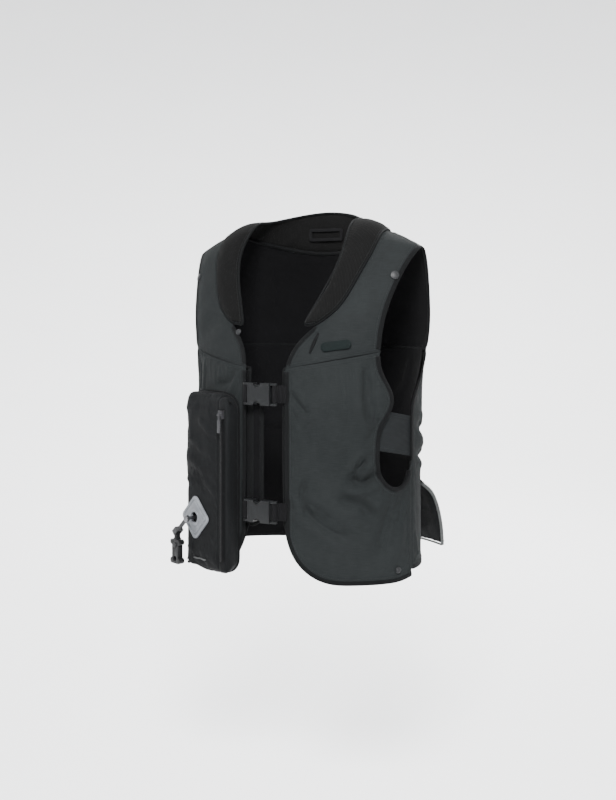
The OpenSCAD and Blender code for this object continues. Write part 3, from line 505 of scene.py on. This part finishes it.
def cloth_run(bm, weights, frames, pressure, bend, shrink=0.0, gravity=0.0, cap=0.004, inward=0.35):
    """Runs the mesh as cloth, then moves each vertex no further than cap."""
    mesh = bpy.data.meshes.new("cloth")
    bm.normal_update()
    starts = [(v.co.copy(), v.normal.copy()) for v in bm.verts]
    bm.to_mesh(mesh)
    obj = bpy.data.objects.new("cloth", mesh)
    bpy.context.scene.collection.objects.link(obj)
    cloth = obj.modifiers.new("Cloth", "CLOTH")
    settings = cloth.settings
    if weights:
        group = obj.vertex_groups.new(name="sewn")
        for index, weight in enumerate(weights):
            group.add([index], weight, "REPLACE")
        settings.vertex_group_mass = "sewn"
    settings.quality = 4
    settings.mass = 0.15
    settings.tension_stiffness = settings.compression_stiffness = 12
    settings.shear_stiffness = 6
    settings.bending_stiffness = bend
    settings.shrink_min = -shrink
    settings.use_pressure = True
    settings.uniform_pressure_force = pressure
    settings.effector_weights.gravity = gravity
    cloth.point_cache.frame_start = 1
    cloth.point_cache.frame_end = frames
    scene = bpy.context.scene
    for number in range(1, frames + 1):
        scene.frame_set(number)
    moved = obj.evaluated_get(bpy.context.evaluated_depsgraph_get()).data
    for vert, point, (start, normal) in zip(bm.verts, moved.vertices, starts):
        move = point.co - start
        out = max(-cap * inward, min(cap, move.dot(normal)))
        flat = move - normal * move.dot(normal)
        if flat.length > cap:
            flat *= cap / flat.length
        vert.co = start + normal * out + flat
    scene.frame_set(1)
    bpy.data.objects.remove(obj)
    bpy.data.meshes.remove(mesh)
    inside = [v for v in bm.verts if not v.is_boundary]
    bmesh.ops.smooth_vert(bm, verts=inside, factor=0.4, use_axis_x=True, use_axis_y=True, use_axis_z=True)
    bm.normal_update()
    return bm


def ring_tube(bm, points, ups, half_across, half_up, sides=10, closed=False):
    """A tube with an oval section along points. ups are the directions of its height."""
    rings = []
    count = len(points)
    for k, point in enumerate(points):
        before = points[k - 1] if k or closed else point
        after = points[(k + 1) % count] if k + 1 < count or closed else point
        along = (after - before).normalized()
        side = along.cross(ups[k]).normalized()
        up = side.cross(along).normalized()
        ring = []
        for j in range(sides):
            angle = 2 * math.pi * (j + 0.5) / sides
            c, s = math.cos(angle), math.sin(angle)
            ring.append(bm.verts.new(point + side * math.copysign(abs(c) ** 0.7, c) * half_across
                                     + up * math.copysign(abs(s) ** 0.7, s) * half_up))
        rings.append(ring)
    pairs = list(zip(rings, rings[1:])) + ([(rings[-1], rings[0])] if closed else [])
    for low, high in pairs:
        for j in range(sides):
            bm.faces.new((low[j], low[(j + 1) % sides], high[(j + 1) % sides], high[j]))
    if not closed:
        bm.faces.new(rings[0][::-1])
        bm.faces.new(rings[-1])


def strip_uv(bm, start):
    """UVs in metres for faces added after start: along the body and up."""
    layer = bm.loops.layers.uv.verify()
    bm.faces.ensure_lookup_table()
    for face in list(bm.faces)[start:]:
        for loop in face.loops:
            p = loop.vert.co
            loop[layer].uv = (math.radians(turn_of(p)) * BODY_RADIUS + p.z, p.z)


STITCH_PITCH = 0.0036
STITCH_SHARE = 0.72
THREAD_R = 0.00035


def add_stitch(bm, a, b, normal):
    """One raised stitch: a short six-sided bar, pulled down at its ends."""
    side = (b - a).cross(normal).normalized()
    rings = []
    for u, rise, scale in ((0.0, 0.0, 0.4), (0.25, 0.8, 1.0), (0.75, 0.8, 1.0), (1.0, 0.0, 0.4)):
        centre = a.lerp(b, u) + normal * THREAD_R * rise
        rings.append([bm.verts.new(centre + (side * math.cos(math.pi * k / 3)
                                             + normal * math.sin(math.pi * k / 3)) * THREAD_R * scale)
                      for k in range(6)])
    for low, high in zip(rings, rings[1:]):
        for k in range(6):
            bm.faces.new((low[k], low[(k + 1) % 6], high[(k + 1) % 6], high[k]))
    bm.faces.new(rings[0][::-1])
    bm.faces.new(rings[-1])


def stitch_line(target, points, normals):
    for a, b, normal in zip(points, points[1:], normals):
        if (b - a).length < 2.5 * STITCH_PITCH:
            add_stitch(target, a, a.lerp(b, STITCH_SHARE), normal)


def topstitch(target, skin, inset, keep=lambda p: True, lift=0.0001):
    """A row of stitches on a skin, inset from its boundary."""
    tree = BVHTree.FromBMesh(skin)
    for loop in rim_loops(skin, STITCH_PITCH):
        for run, _ in runs(loop, keep):
            points, normals = [], []
            for point, _, inward in run:
                spot, normal, _, _ = tree.find_nearest(point + inward * inset)
                points.append(spot + normal * lift)
                normals.append(normal)
            stitch_line(target, points, normals)


def bind_edge(target, skin, thickness, keep=lambda p: True, width=0.0036, proud=0.0006):
    """Tape folded over a sheet's free edge."""
    for loop in rim_loops(skin, 0.0025):
        for run, closed in runs(loop, keep):
            points = [p + inward * (width - 0.001) - n * thickness / 2 for p, n, inward in run]
            ring_tube(target, points, [n for _, n, _ in run], width, thickness / 2 + proud, closed=closed)


def piping(target, skin, radius, keep=lambda p: True, out=0.0):
    """A cord sewn along a skin's boundary."""
    for loop in rim_loops(skin, 0.0025):
        for run, closed in runs(loop, keep):
            ring_tube(target, [p + n * out for p, n, _ in run], [n for _, n, _ in run],
                      radius, radius, 8, closed)


def skin_area(bm):
    return sum(face.calc_area() for face in bm.faces)


def thickened(bm, thickness, lined=False):
    """The sheet with its thickness inwards, and its inner face as a second material."""
    tree = BVHTree.FromBMesh(bm)
    out = modified(
        bm,
        ("SOLIDIFY", {"thickness": thickness, "offset": -1}),
        ("BEVEL", {"width": 0.0006, "segments": 2, "limit_method": "ANGLE",
                   "angle_limit": math.radians(60)}),
    )
    if lined:
        for face in out.faces:
            normal = tree.find_nearest(face.calc_center_median())[1]
            face.material_index = 1 if face.normal.dot(normal) < -0.3 else 0
    return out


# ------------------------------------------------------------------ shell
# Creases: (points as degrees round and metres up, width, depth)
LEFT_CREASES = [
    ([(60, 0.325), (62, 0.262), (67, 0.205)], 0.0085, 0.0032),
    ([(61, 0.180), (53, 0.146)], 0.0055, 0.0026),
    ([(53, 0.145), (61, 0.148), (69, 0.156)], 0.0065, 0.0040),
    ([(24, 0.112), (38, 0.091), (55, 0.058)], 0.0100, 0.0030),
    ([(46, 0.122), (58, 0.113), (66, 0.090)], 0.0075, 0.0028),
    ([(82, 0.130), (73, 0.090), (67, 0.030)], 0.0120, 0.0030),
    ([(16, 0.272), (22, 0.262), (30, 0.240)], 0.0055, 0.0018),
    ([(16, 0.098), (24, 0.120), (29, 0.150)], 0.0060, 0.0016),
    ([(30, 0.235), (36, 0.190), (38, 0.150)], 0.0140, 0.0012),
]
RIGHT_CREASES = [
    ([(-60, 0.325), (-63, 0.262), (-68, 0.205)], 0.0085, 0.0030),
    ([(-22, 0.300), (-30, 0.284), (-44, 0.276)], 0.0060, 0.0016),
    ([(-82, 0.140), (-74, 0.090), (-68, 0.030)], 0.0100, 0.0028),
    ([(-62, 0.160), (-70, 0.120)], 0.0070, 0.0026),
]
BACK_CREASES = [
    ([(92, 0.225), (112, 0.205), (135, 0.200)], 0.0085, 0.0030),
    ([(92, 0.180), (110, 0.170), (124, 0.172)], 0.0070, 0.0024),
    ([(-92, 0.228), (-114, 0.207), (-138, 0.204)], 0.0085, 0.0030),
    ([(-92, 0.178), (-108, 0.168), (-122, 0.168)], 0.0070, 0.0024),
    ([(118, 0.320), (126, 0.270), (140, 0.240)], 0.0100, 0.0028),
    ([(-118, 0.320), (-127, 0.268), (-141, 0.238)], 0.0100, 0.0028),
    ([(158, 0.330), (160, 0.280), (156, 0.230)], 0.0140, 0.0022),
    ([(-164, 0.330), (-161, 0.276), (-166, 0.225)], 0.0140, 0.0022),
]


def soft_depth(p, seed):
    """The cloth's own unevenness: broad swells and faint drag lines."""
    broad = noise.noise(p * 10 + Vector((seed, 0, 0))) * 0.0019
    drag = folds(p, (1, 1, 2.4), 0.055, seed) * 0.0005
    return broad + drag


PANELS = {
    "left_front_panel": (3, LEFT_CREASES, 3.0),
    "right_front_panel": (3, RIGHT_CREASES, 9.0),
    "back_panel": (3, BACK_CREASES, 15.0),
    "left_yoke": (3, [([(36, 0.400), (48, 0.372), (60, 0.352)], 0.012, 0.0010)], 21.0),
    "right_yoke": (3, [([(-34, 0.405), (-47, 0.374), (-60, 0.350)], 0.012, 0.0012)], 27.0),
    "back_yoke": (3, [], 33.0),
}
SHELL_T = 0.0019
STITCHES = bmesh.new()
BINDING = bmesh.new()
SEAMS = bmesh.new()
SKINS = {name: subdivided(outer_skin(name), levels) for name, (levels, _, _) in PANELS.items()}
PRESSED = {}
RIMS = {name: tree_of([i[0] for loop in rim_loops(skin, 0.002) for i in loop]) for name, skin in SKINS.items()}
COLLAR_TREE = BVHTree.FromBMesh(welded("collar"))
SEWN_WITHIN = 0.0035


def sewn(name, p):
    """Whether a point of a panel's rim is sewn to another panel or to the collar."""
    near = min(tree.find(p)[2] for other, tree in RIMS.items() if other != name)
    return near < SEWN_WITHIN or (COLLAR_TREE.find_nearest(p)[3] or 1) < 0.003


def make_panel(name):
    levels, creases, seed = PANELS[name]
    skin = SKINS[name]
    starts = [vert.co.copy() for vert in skin.verts]
    far = edge_distance(skin)
    seam_tree = tree_of([i[0] for loop in rim_loops(skin, 0.002) for i in loop if sewn(name, i[0])] or [INSIDE])
    skin.normal_update()
    moves = []
    for vert in skin.verts:
        p = vert.co
        near_seam = seam_tree.find(p)[2]
        fade = smooth_step(near_seam / 0.022) * (0.35 + 0.65 * smooth_step(far[vert] / 0.025))
        depth = (soft_depth(p, seed) + crease_depth((turn_of(p), p.z), creases)) * fade
        groove = 0.0009 * math.exp(-((near_seam / 0.0022) ** 2))
        pucker = 0.0007 * noise.noise(p * 130) * math.exp(-((near_seam / 0.009) ** 2))
        moves.append((vert, vert.normal * (depth - groove + pucker * smooth_step(near_seam / 0.003))))
    for vert, move in moves:
        vert.co += move
    skin.normal_update()
    weights = [1 - smooth_step(far[v] / 0.015) for v in skin.verts]
    if name in ("left_front_panel", "back_panel", "right_front_panel"):
        cloth_run(skin, weights, 14, 0.5, 0.3, shrink=0.012, gravity=0.3, cap=0.0025)
    pressed = [min(0.0, (v.co - start).dot(v.normal)) for v, start in zip(skin.verts, starts)]
    PRESSED[name] = (tree_of(starts), pressed)

    def free(p):
        return not sewn(name, p)

    def joined(p):
        return sewn(name, p)

    topstitch(STITCHES, skin, 0.0085, free)
    topstitch(STITCHES, skin, 0.0048, joined)
    bind_edge(BINDING, skin, SHELL_T, free)
    area = skin_area(skin)
    bm = thickened(skin.copy(), SHELL_T, lined=True)
    add_uv(bm)
    obj = piece(name + "_cloth", bm, "vest", SLOT_OF[name], [name], [SLOT_OF[name], "lining_mesh"])


for name in PANELS:
    make_panel(name)


def make_seam_cords():
    """The turned allowance in each seam: a thin dark ridge down in the groove."""
    for name in ("left_yoke", "right_yoke", "back_yoke", "back_panel"):
        for loop in rim_loops(SKINS[name], 0.003):
            for run, closed in runs(loop, lambda p: sewn(name, p)):
                ring_tube(SEAMS, [p - n * 0.0013 for p, n, _ in run], [n for _, n, _ in run],
                          0.0024, 0.0010, 8, closed)


make_seam_cords()

INNER_LAYERS = {
    "left_lining": (0.0012, "left_front_panel"), "right_lining": (0.0012, "right_front_panel"),
    "back_lining": (0.0012, "back_panel"), "front_underflap": (0.0012, None),
    "left_air_cell": (0.0018, "left_front_panel"), "right_air_cell": (0.0018, "right_front_panel"),
    "back_air_cell": (0.0018, "back_panel"),
    "left_side_strap": (0.0015, None), "right_side_strap": (0.0015, None),
    "pocket_backing": (0.0009, "right_front_panel"),
}


def pressed_in(panel, p):
    """How far a panel's creases push in at a place: the most of its nearest vertices."""
    tree, depths = PRESSED[panel]
    return min(depths[index] for _, index, _ in tree.find_n(p, 5))


def make_inner_layer(node, thickness, panel):
    """Lining, air cell or strap: it follows the shell's creases, so that the layers stay apart."""
    skin = subdivided(outer_skin(node), 2)
    far = edge_distance(skin)
    skin.normal_update()
    strap = "strap" in node
    for vert in list(skin.verts):
        p = vert.co
        depth = pressed_in(panel, p) - 0.0001 if panel else 0.0
        if strap:
            depth = -0.0012 * math.sin(math.pi * smooth_step(far[vert] / 0.03))
        vert.co = p + vert.normal * depth
    skin.normal_update()
    if "cell" not in node and node != "pocket_backing":
        topstitch(STITCHES, skin, 0.005)
    if node in ("left_lining", "right_lining", "front_underflap"):
        bind_edge(BINDING, skin, thickness, width=0.0026, proud=0.0004)
    area = skin_area(skin)
    bm = thickened(skin, thickness)
    add_uv(bm)
    obj = piece(node + "_cloth", bm, BODY_OF[node], SLOT_OF[node], [node])


for name, (thick, over) in INNER_LAYERS.items():
    make_inner_layer(name, thick, over)


# ------------------------------------------------------------------ gas pocket
POCKET_LOW, POCKET_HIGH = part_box("pocket_cover")
ZIP = middle("zip_track")
TRIM_Z = POCKET_LOW.z + 0.018


def uvn(p):
    """A point in the pocket's own directions, from the key's axis: along, up and out."""
    q = p - KEY
    return q.dot(ALONG), p.z - KEY.z, q.dot(OUT)


def from_uvn(u, v, n):
    return KEY + ALONG * u + UP * v + OUT * n


ZIP_U = uvn(ZIP)[0]
POCKET_CREASES = [
    ((-0.020, 0.120), (0.022, 0.104), 0.007, 0.0030), ((-0.026, 0.092), (0.030, 0.070), 0.008, 0.0034),
    ((0.008, 0.148), (0.046, 0.124), 0.006, 0.0026), ((-0.028, 0.158), (0.010, 0.166), 0.008, 0.0024),
    ((0.020, 0.058), (0.048, 0.040), 0.006, 0.0018), ((-0.026, 0.060), (-0.008, 0.046), 0.006, 0.0016),
    ((-0.024, -0.044), (0.030, -0.052), 0.008, 0.0020),
]


def pocket_depth(p):
    """Quilted swell, slack creases, and the sewn channel that the zip lies in."""
    u, v, n = uvn(p)
    depth = noise.noise(p * 24) * 0.0014
    for (au, av), (bu, bv), width, deep in POCKET_CREASES:
        du, dv = bu - au, bv - av
        share = min(1.0, max(0.0, ((u - au) * du + (v - av) * dv) / (du * du + dv * dv)))
        away = math.hypot(u - au - du * share, v - av - dv * share)
        fade = smooth_step(0.2 + 3 * min(share, 1 - share))
        depth += deep * fade * (math.exp(-((away / width) ** 2))
                                - 0.4 * math.exp(-(((away - 1.9 * width) / width) ** 2)))
    plate = smooth_step((math.hypot(u, v) - 0.040) / 0.014)
    zip_strip = smooth_step((abs(u - ZIP_U) - 0.006) / 0.006)
    depth = depth * plate * zip_strip
    channel = math.exp(-(((u - ZIP_U + 0.0105) / 0.0022) ** 2))
    return max(-0.0006, depth) - 0.0012 * channel


def make_pocket():
    skin = subdivided(outer_skin("pocket_cover"), 3)
    far = edge_distance(skin)
    skin.normal_update()
    for vert in list(skin.verts):
        vert.co += vert.normal * pocket_depth(vert.co) * smooth_step(far[vert] / 0.008)
    skin.normal_update()
    weights = []
    for vert in skin.verts:
        u, v, n = uvn(vert.co)
        hold = 1 - smooth_step(far[vert] / 0.012)
        hold = max(hold, 1 - smooth_step((math.hypot(u, v) - 0.036) / 0.012))
        weights.append(max(hold, 1 - smooth_step((abs(u - ZIP_U) - 0.008) / 0.006)))
    cloth_run(skin, weights, 16, 2.5, 0.3, shrink=0.03, cap=0.0035, inward=0.15)
    tree = BVHTree.FromBMesh(skin)
    topstitch(STITCHES, skin, 0.004, lambda p: math.hypot(*uvn(p)[:2]) > 0.03)
    piping(SEAMS, skin, 0.0016, lambda p: math.hypot(*uvn(p)[:2]) > 0.03, out=0.0008)
    for side in (-0.0145, -0.0065):
        points, normals = [], []
        count = int((POCKET_HIGH.z - POCKET_LOW.z - 0.05) / STITCH_PITCH)
        for k in range(count):
            spot, normal, _, _ = tree.find_nearest(
                from_uvn(ZIP_U + side, POCKET_LOW.z + 0.025 - KEY.z + k * STITCH_PITCH, 0))
            points.append(spot + normal * 0.0001)
            normals.append(normal)
        stitch_line(STITCHES, points, normals)
    make_pocket_trim(tree)
    bm = thickened(skin, 0.0018)
    add_uv(bm, ALONG, UP)
    obj = piece("pocket_cloth", bm, "vest", "pocket_nylon", ["pocket_cover"])


def make_pocket_trim(tree):
    """A short bright piping low on the face."""
    points, normals = [], []
    for k in range(20):
        u = -0.006 + k * 0.0017
        spot, normal, _, _ = tree.find_nearest(from_uvn(u, TRIM_Z - KEY.z + 0.0001 * k, 0))
        points.append(spot + normal * 0.0006)
        normals.append(normal)
    bm = bmesh.new()
    ring_tube(bm, points, normals, 0.0010, 0.0009, 8)
    add_uv(bm, ALONG, UP)
    piece("pocket_trim", bm, "vest", "reflective_tape")


make_pocket()


def box_into(bm, centre, axes, halves):
    """A small block along three directions."""
    grid = {}
    for i in (-1, 1):
        for j in (-1, 1):
            for k in (-1, 1):
                grid[i, j, k] = bm.verts.new(centre + axes[0] * i * halves[0]
                                             + axes[1] * j * halves[1] + axes[2] * k * halves[2])
    corners = [((-1, -1, -1), (-1, -1, 1), (-1, 1, 1), (-1, 1, -1)),
               ((1, -1, -1), (1, 1, -1), (1, 1, 1), (1, -1, 1)),
               ((-1, -1, -1), (1, -1, -1), (1, -1, 1), (-1, -1, 1)),
               ((-1, 1, -1), (-1, 1, 1), (1, 1, 1), (1, 1, -1)),
               ((-1, -1, -1), (-1, 1, -1), (1, 1, -1), (1, -1, -1)),
               ((-1, -1, 1), (1, -1, 1), (1, 1, 1), (-1, 1, 1))]
    for face in corners:
        bm.faces.new([grid[c] for c in face])


TOOTH_PITCH = 0.0020


def make_zip():
    """Two woven tapes with a row of interlocking teeth between them."""
    low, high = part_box("zip_track")
    u0, v0, n0 = uvn(ZIP)
    count = int((high.z - low.z) / TOOTH_PITCH) - 1
    teeth = bmesh.new()
    for k in range(count):
        side = 1 if k % 2 else -1
        centre = from_uvn(u0 + side * 0.0006, low.z - KEY.z + (k + 1) * TOOTH_PITCH, n0 + 0.0002)
        box_into(teeth, centre, (ALONG, UP, OUT), (0.0014, 0.0006, 0.0008))
    teeth = modified(teeth, ("BEVEL", {"width": 0.00025, "segments": 2}))
    add_uv(teeth, ALONG, UP)
    piece("zip_teeth", teeth, "vest", "zip_tape", materials=["buckle_plastic"])
    tapes = bmesh.new()
    steps = 60
    for side in (-1, 1):
        points = [from_uvn(u0 + side * 0.0026, low.z - KEY.z + (high.z - low.z) * k / steps, n0 - 0.0002)
                  for k in range(steps + 1)]
        ring_tube(tapes, points, [OUT] * len(points), 0.0018, 0.0004, 8)
    add_uv(tapes, ALONG, UP)
    piece("zip_tapes", tapes, "vest", "zip_tape", ["zip_track"])


make_zip()


# ------------------------------------------------------------------ padded pieces
def inflated(bm, voxel, pressure, cap, frames=16):
    """A closed pad: remeshed evenly, blown up as cloth, then smoothed."""
    if voxel:
        bm = modified(bm, ("REMESH", {"mode": "VOXEL", "voxel_size": voxel}))
    bm = cloth_run(bm, None, frames, pressure, 0.4, cap=cap, inward=1.0)
    return subdivided(bm, 1)


def make_collar():
    bm = subdivided(quads(welded("collar")), 2)
    bm.normal_update()
    for vert in list(bm.verts):
        p = vert.co
        vert.co = p + vert.normal * (noise.noise(p * 20) * 0.0009 + folds(p, (1, 1, 1), 0.04, 5.0) * 0.0004)
    bm = inflated(bm, 0, 1.5, 0.0016)
    add_uv(bm)
    obj = piece("collar_pad", bm, "vest", "collar_mesh", ["collar"])
    face = subdivided(outer_skin("collar"), 2)
    piping(BINDING, face, 0.0019)
    topstitch(STITCHES, face, 0.006, lift=0.0009)
    face.free()


make_collar()


def make_flap():
    """The rear flap: a quilted pad with a bright edge, and its tape."""
    low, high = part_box("rear_flap")
    bm = inflated(welded("rear_flap"), 0.0045, 2.5, 0.003)
    bm.normal_update()
    for vert in list(bm.verts):
        p = vert.co
        vert.co = p + vert.normal * (noise.noise(p * 18) * 0.0013 + folds(p, (2.6, 1, 0.7), 0.035, 8.0) * 0.0006)
    add_uv(bm)
    obj = piece("rear_flap_pad", bm, BODY_OF["rear_flap"], "pocket_nylon", ["rear_flap"])
    edges = bmesh.new()
    face = subdivided(outer_skin("rear_flap"), 2)
    for loop in rim_loops(face, 0.0025):
        for run, closed in runs(loop, lambda p: p.z < high.z - 0.006):
            ring_tube(edges, [p - n * 0.003 for p, n, _ in run], [i for _, _, i in run],
                      0.0026, 0.0011, 10, closed)
    add_uv(edges)
    piece("rear_flap_edge", edges, BODY_OF["rear_flap"], "reflective_tape")
    thread = bmesh.new()
    topstitch(thread, face, 0.006, lift=0.002)
    add_uv(thread)
    piece("rear_flap_stitching", thread, BODY_OF["rear_flap"], "pocket_nylon", materials=["thread"])
    face.free()
    tape = subdivided(outer_skin("rear_flap_tape"), 2)
    for vert in tape.verts:
        vert.co += vert.normal * 0.0018
    area = skin_area(tape)
    line = bmesh.new()
    topstitch(line, tape, 0.002)
    add_uv(line)
    piece("rear_flap_tape_stitching", line, BODY_OF["rear_flap"], "reflective_tape", materials=["thread"])
    bm = thickened(tape, 0.0012)
    add_uv(bm)
    obj = piece("rear_flap_band", bm, BODY_OF["rear_flap"], "reflective_tape", ["rear_flap_tape"])


make_flap()


# ------------------------------------------------------------------ hard fittings
BEVELS = {
    "upper_socket": 0.9, "lower_socket": 0.9, "upper_plug": 0.6, "lower_plug": 0.6,
    "upper_prong_top": 0.5, "upper_prong_bottom": 0.5, "lower_prong_top": 0.5, "lower_prong_bottom": 0.5,
    "upper_left_webbing": 0.3, "upper_right_webbing": 0.3, "lower_left_webbing": 0.3,
    "lower_right_webbing": 0.3, "zip_slider": 0.25, "zip_pull": 0.3, "guard_plate": 0.45,
    "release_key": 0.5, "key_cord": 0.4, "coupler_body": 1.2, "coupler_button": 0.5,
    "chest_patch": 0.5, "hang_loop": 0.4, "shoulder_snaps": 0.4, "small_snaps": 0.4,
}


def make_fitting(node, bevel):
    """A hard CAD piece with softened edges."""
    bm = welded(node)
    bmesh.ops.dissolve_limit(bm, angle_limit=math.radians(0.6), verts=bm.verts, edges=bm.edges)
    bm = modified(bm, ("BEVEL", {"width": bevel / 1000, "segments": 3, "limit_method": "ANGLE",
                                 "angle_limit": math.radians(34), "use_clamp_overlap": True}),
                  ("TRIANGULATE", {}))
    add_uv(bm, Vector((1, 0, 0)), UP)
    piece(node + "_fine", bm, BODY_OF[node], SLOT_OF[node], [node], sharp=math.radians(40))


for name, width in BEVELS.items():
    make_fitting(name, width)


def make_slit():
    """A welted slit on the left yoke: two raised lips with a dark line between them."""
    tree = BVHTree.FromBMesh(SKINS["left_yoke"])
    lips = bmesh.new()
    for side, radius, drop in ((-1, 0.0013, 0.0), (1, 0.0013, 0.0), (0, 0.0008, 0.0003)):
        points, normals = [], []
        for k in range(17):
            u = k / 16
            turn = math.radians(34 + (30 - 34) * u)
            guess = Vector((math.sin(turn) * 0.14, -math.cos(turn) * 0.14, 0.360 + (0.329 - 0.360) * u))
            spot, normal, _, _ = tree.find_nearest(guess)
            across = normal.cross(UP).normalized()
            spread = side * 0.0014 * math.sin(math.pi * u)
            points.append(spot + across * spread + normal * (0.0006 - drop))
            normals.append(normal)
        ring_tube(lips, points, normals, radius, 0.0008, 8)
    add_uv(lips)
    piece("yoke_slit", lips, "vest", "yoke_nylon", materials=["binding"])


make_slit()

for bm, name, slot, key in ((STITCHES, "stitching", "shell_nylon", "thread"),
                            (BINDING, "edge_binding", "shell_nylon", "binding"),
                            (SEAMS, "seam_cords", "shell_nylon", "binding")):
    strip_uv(bm, 0)
    piece(name, bm, "vest", slot, materials=[key])
for skin in SKINS.values():
    skin.free()
for node, obj in NODES.items():
    obj.data.materials.clear()
    obj.data.materials.append(MATERIALS[SLOT_OF[node]])


# ------------------------------------------------------------------ light and floor
FLOOR_Z = -0.4


def area_light(name, place, aim, size, power):
    data = bpy.data.lights.new(name, "AREA")
    data.shape = "RECTANGLE"
    data.size, data.size_y = size
    data.energy = power
    lamp = bpy.data.objects.new(name, data)
    bpy.context.scene.collection.objects.link(lamp)
    lamp.location = place
    lamp.rotation_euler = (Vector(aim) - Vector(place)).to_track_quat("-Z", "Y").to_euler()


def make_stage():
    """A pale floor that rises into a wall all round, like a studio sweep."""
    bm = bmesh.new()
    sides, rings = 96, []
    for k in range(25):
        u = k / 24
        radius = 0.5 + 9.5 * u
        height = FLOOR_Z + 5.5 * max(0.0, (u - 0.25) / 0.75) ** 2
        rings.append([bm.verts.new((radius * math.cos(2 * math.pi * j / sides),
                                    radius * math.sin(2 * math.pi * j / sides), height))
                      for j in range(sides)])
    bm.faces.new(rings[0])
    for low, high in zip(rings, rings[1:]):
        for j in range(sides):
            bm.faces.new((low[j], high[j], high[(j + 1) % sides], low[(j + 1) % sides]))
    bmesh.ops.recalc_face_normals(bm, faces=bm.faces)
    mesh = bpy.data.meshes.new("floor")
    bm.to_mesh(mesh)
    bm.free()
    for face in mesh.polygons:
        face.use_smooth = True
    floor = bpy.data.objects.new("floor", mesh)
    bpy.context.scene.collection.objects.link(floor)
    s = Shader("floor", 0.9, spec=0.1)
    s.colour(s.mix(s.noise(s.coords("Object"), 2), (0.86, 0.86, 0.865), (0.9, 0.9, 0.9)))
    mesh.materials.append(s.mat)
    world = bpy.data.worlds.new("studio")
    world.use_nodes = True
    background = world.node_tree.nodes["Background"]
    background.inputs["Color"].default_value = (0.97, 0.985, 1.0, 1)
    background.inputs["Strength"].default_value = 1.7
    bpy.context.scene.world = world
    aim = (0, 0, 0.28)
    area_light("key", (0.7, -1.4, 1.3), (0, 0, 0.42), (0.5, 0.5), 105)
    area_light("left_fill", (-1.9, -1.2, 1.0), aim, (1.4, 1.8), 6)
    area_light("rim", (0.2, 2.2, 1.8), aim, (1.6, 1.2), 60)
    area_light("wall_wash", (-1.2, 2.4, 3.4), (-2.2, 4.2, FLOOR_Z), (2.6, 2.6), 420)


make_stage()
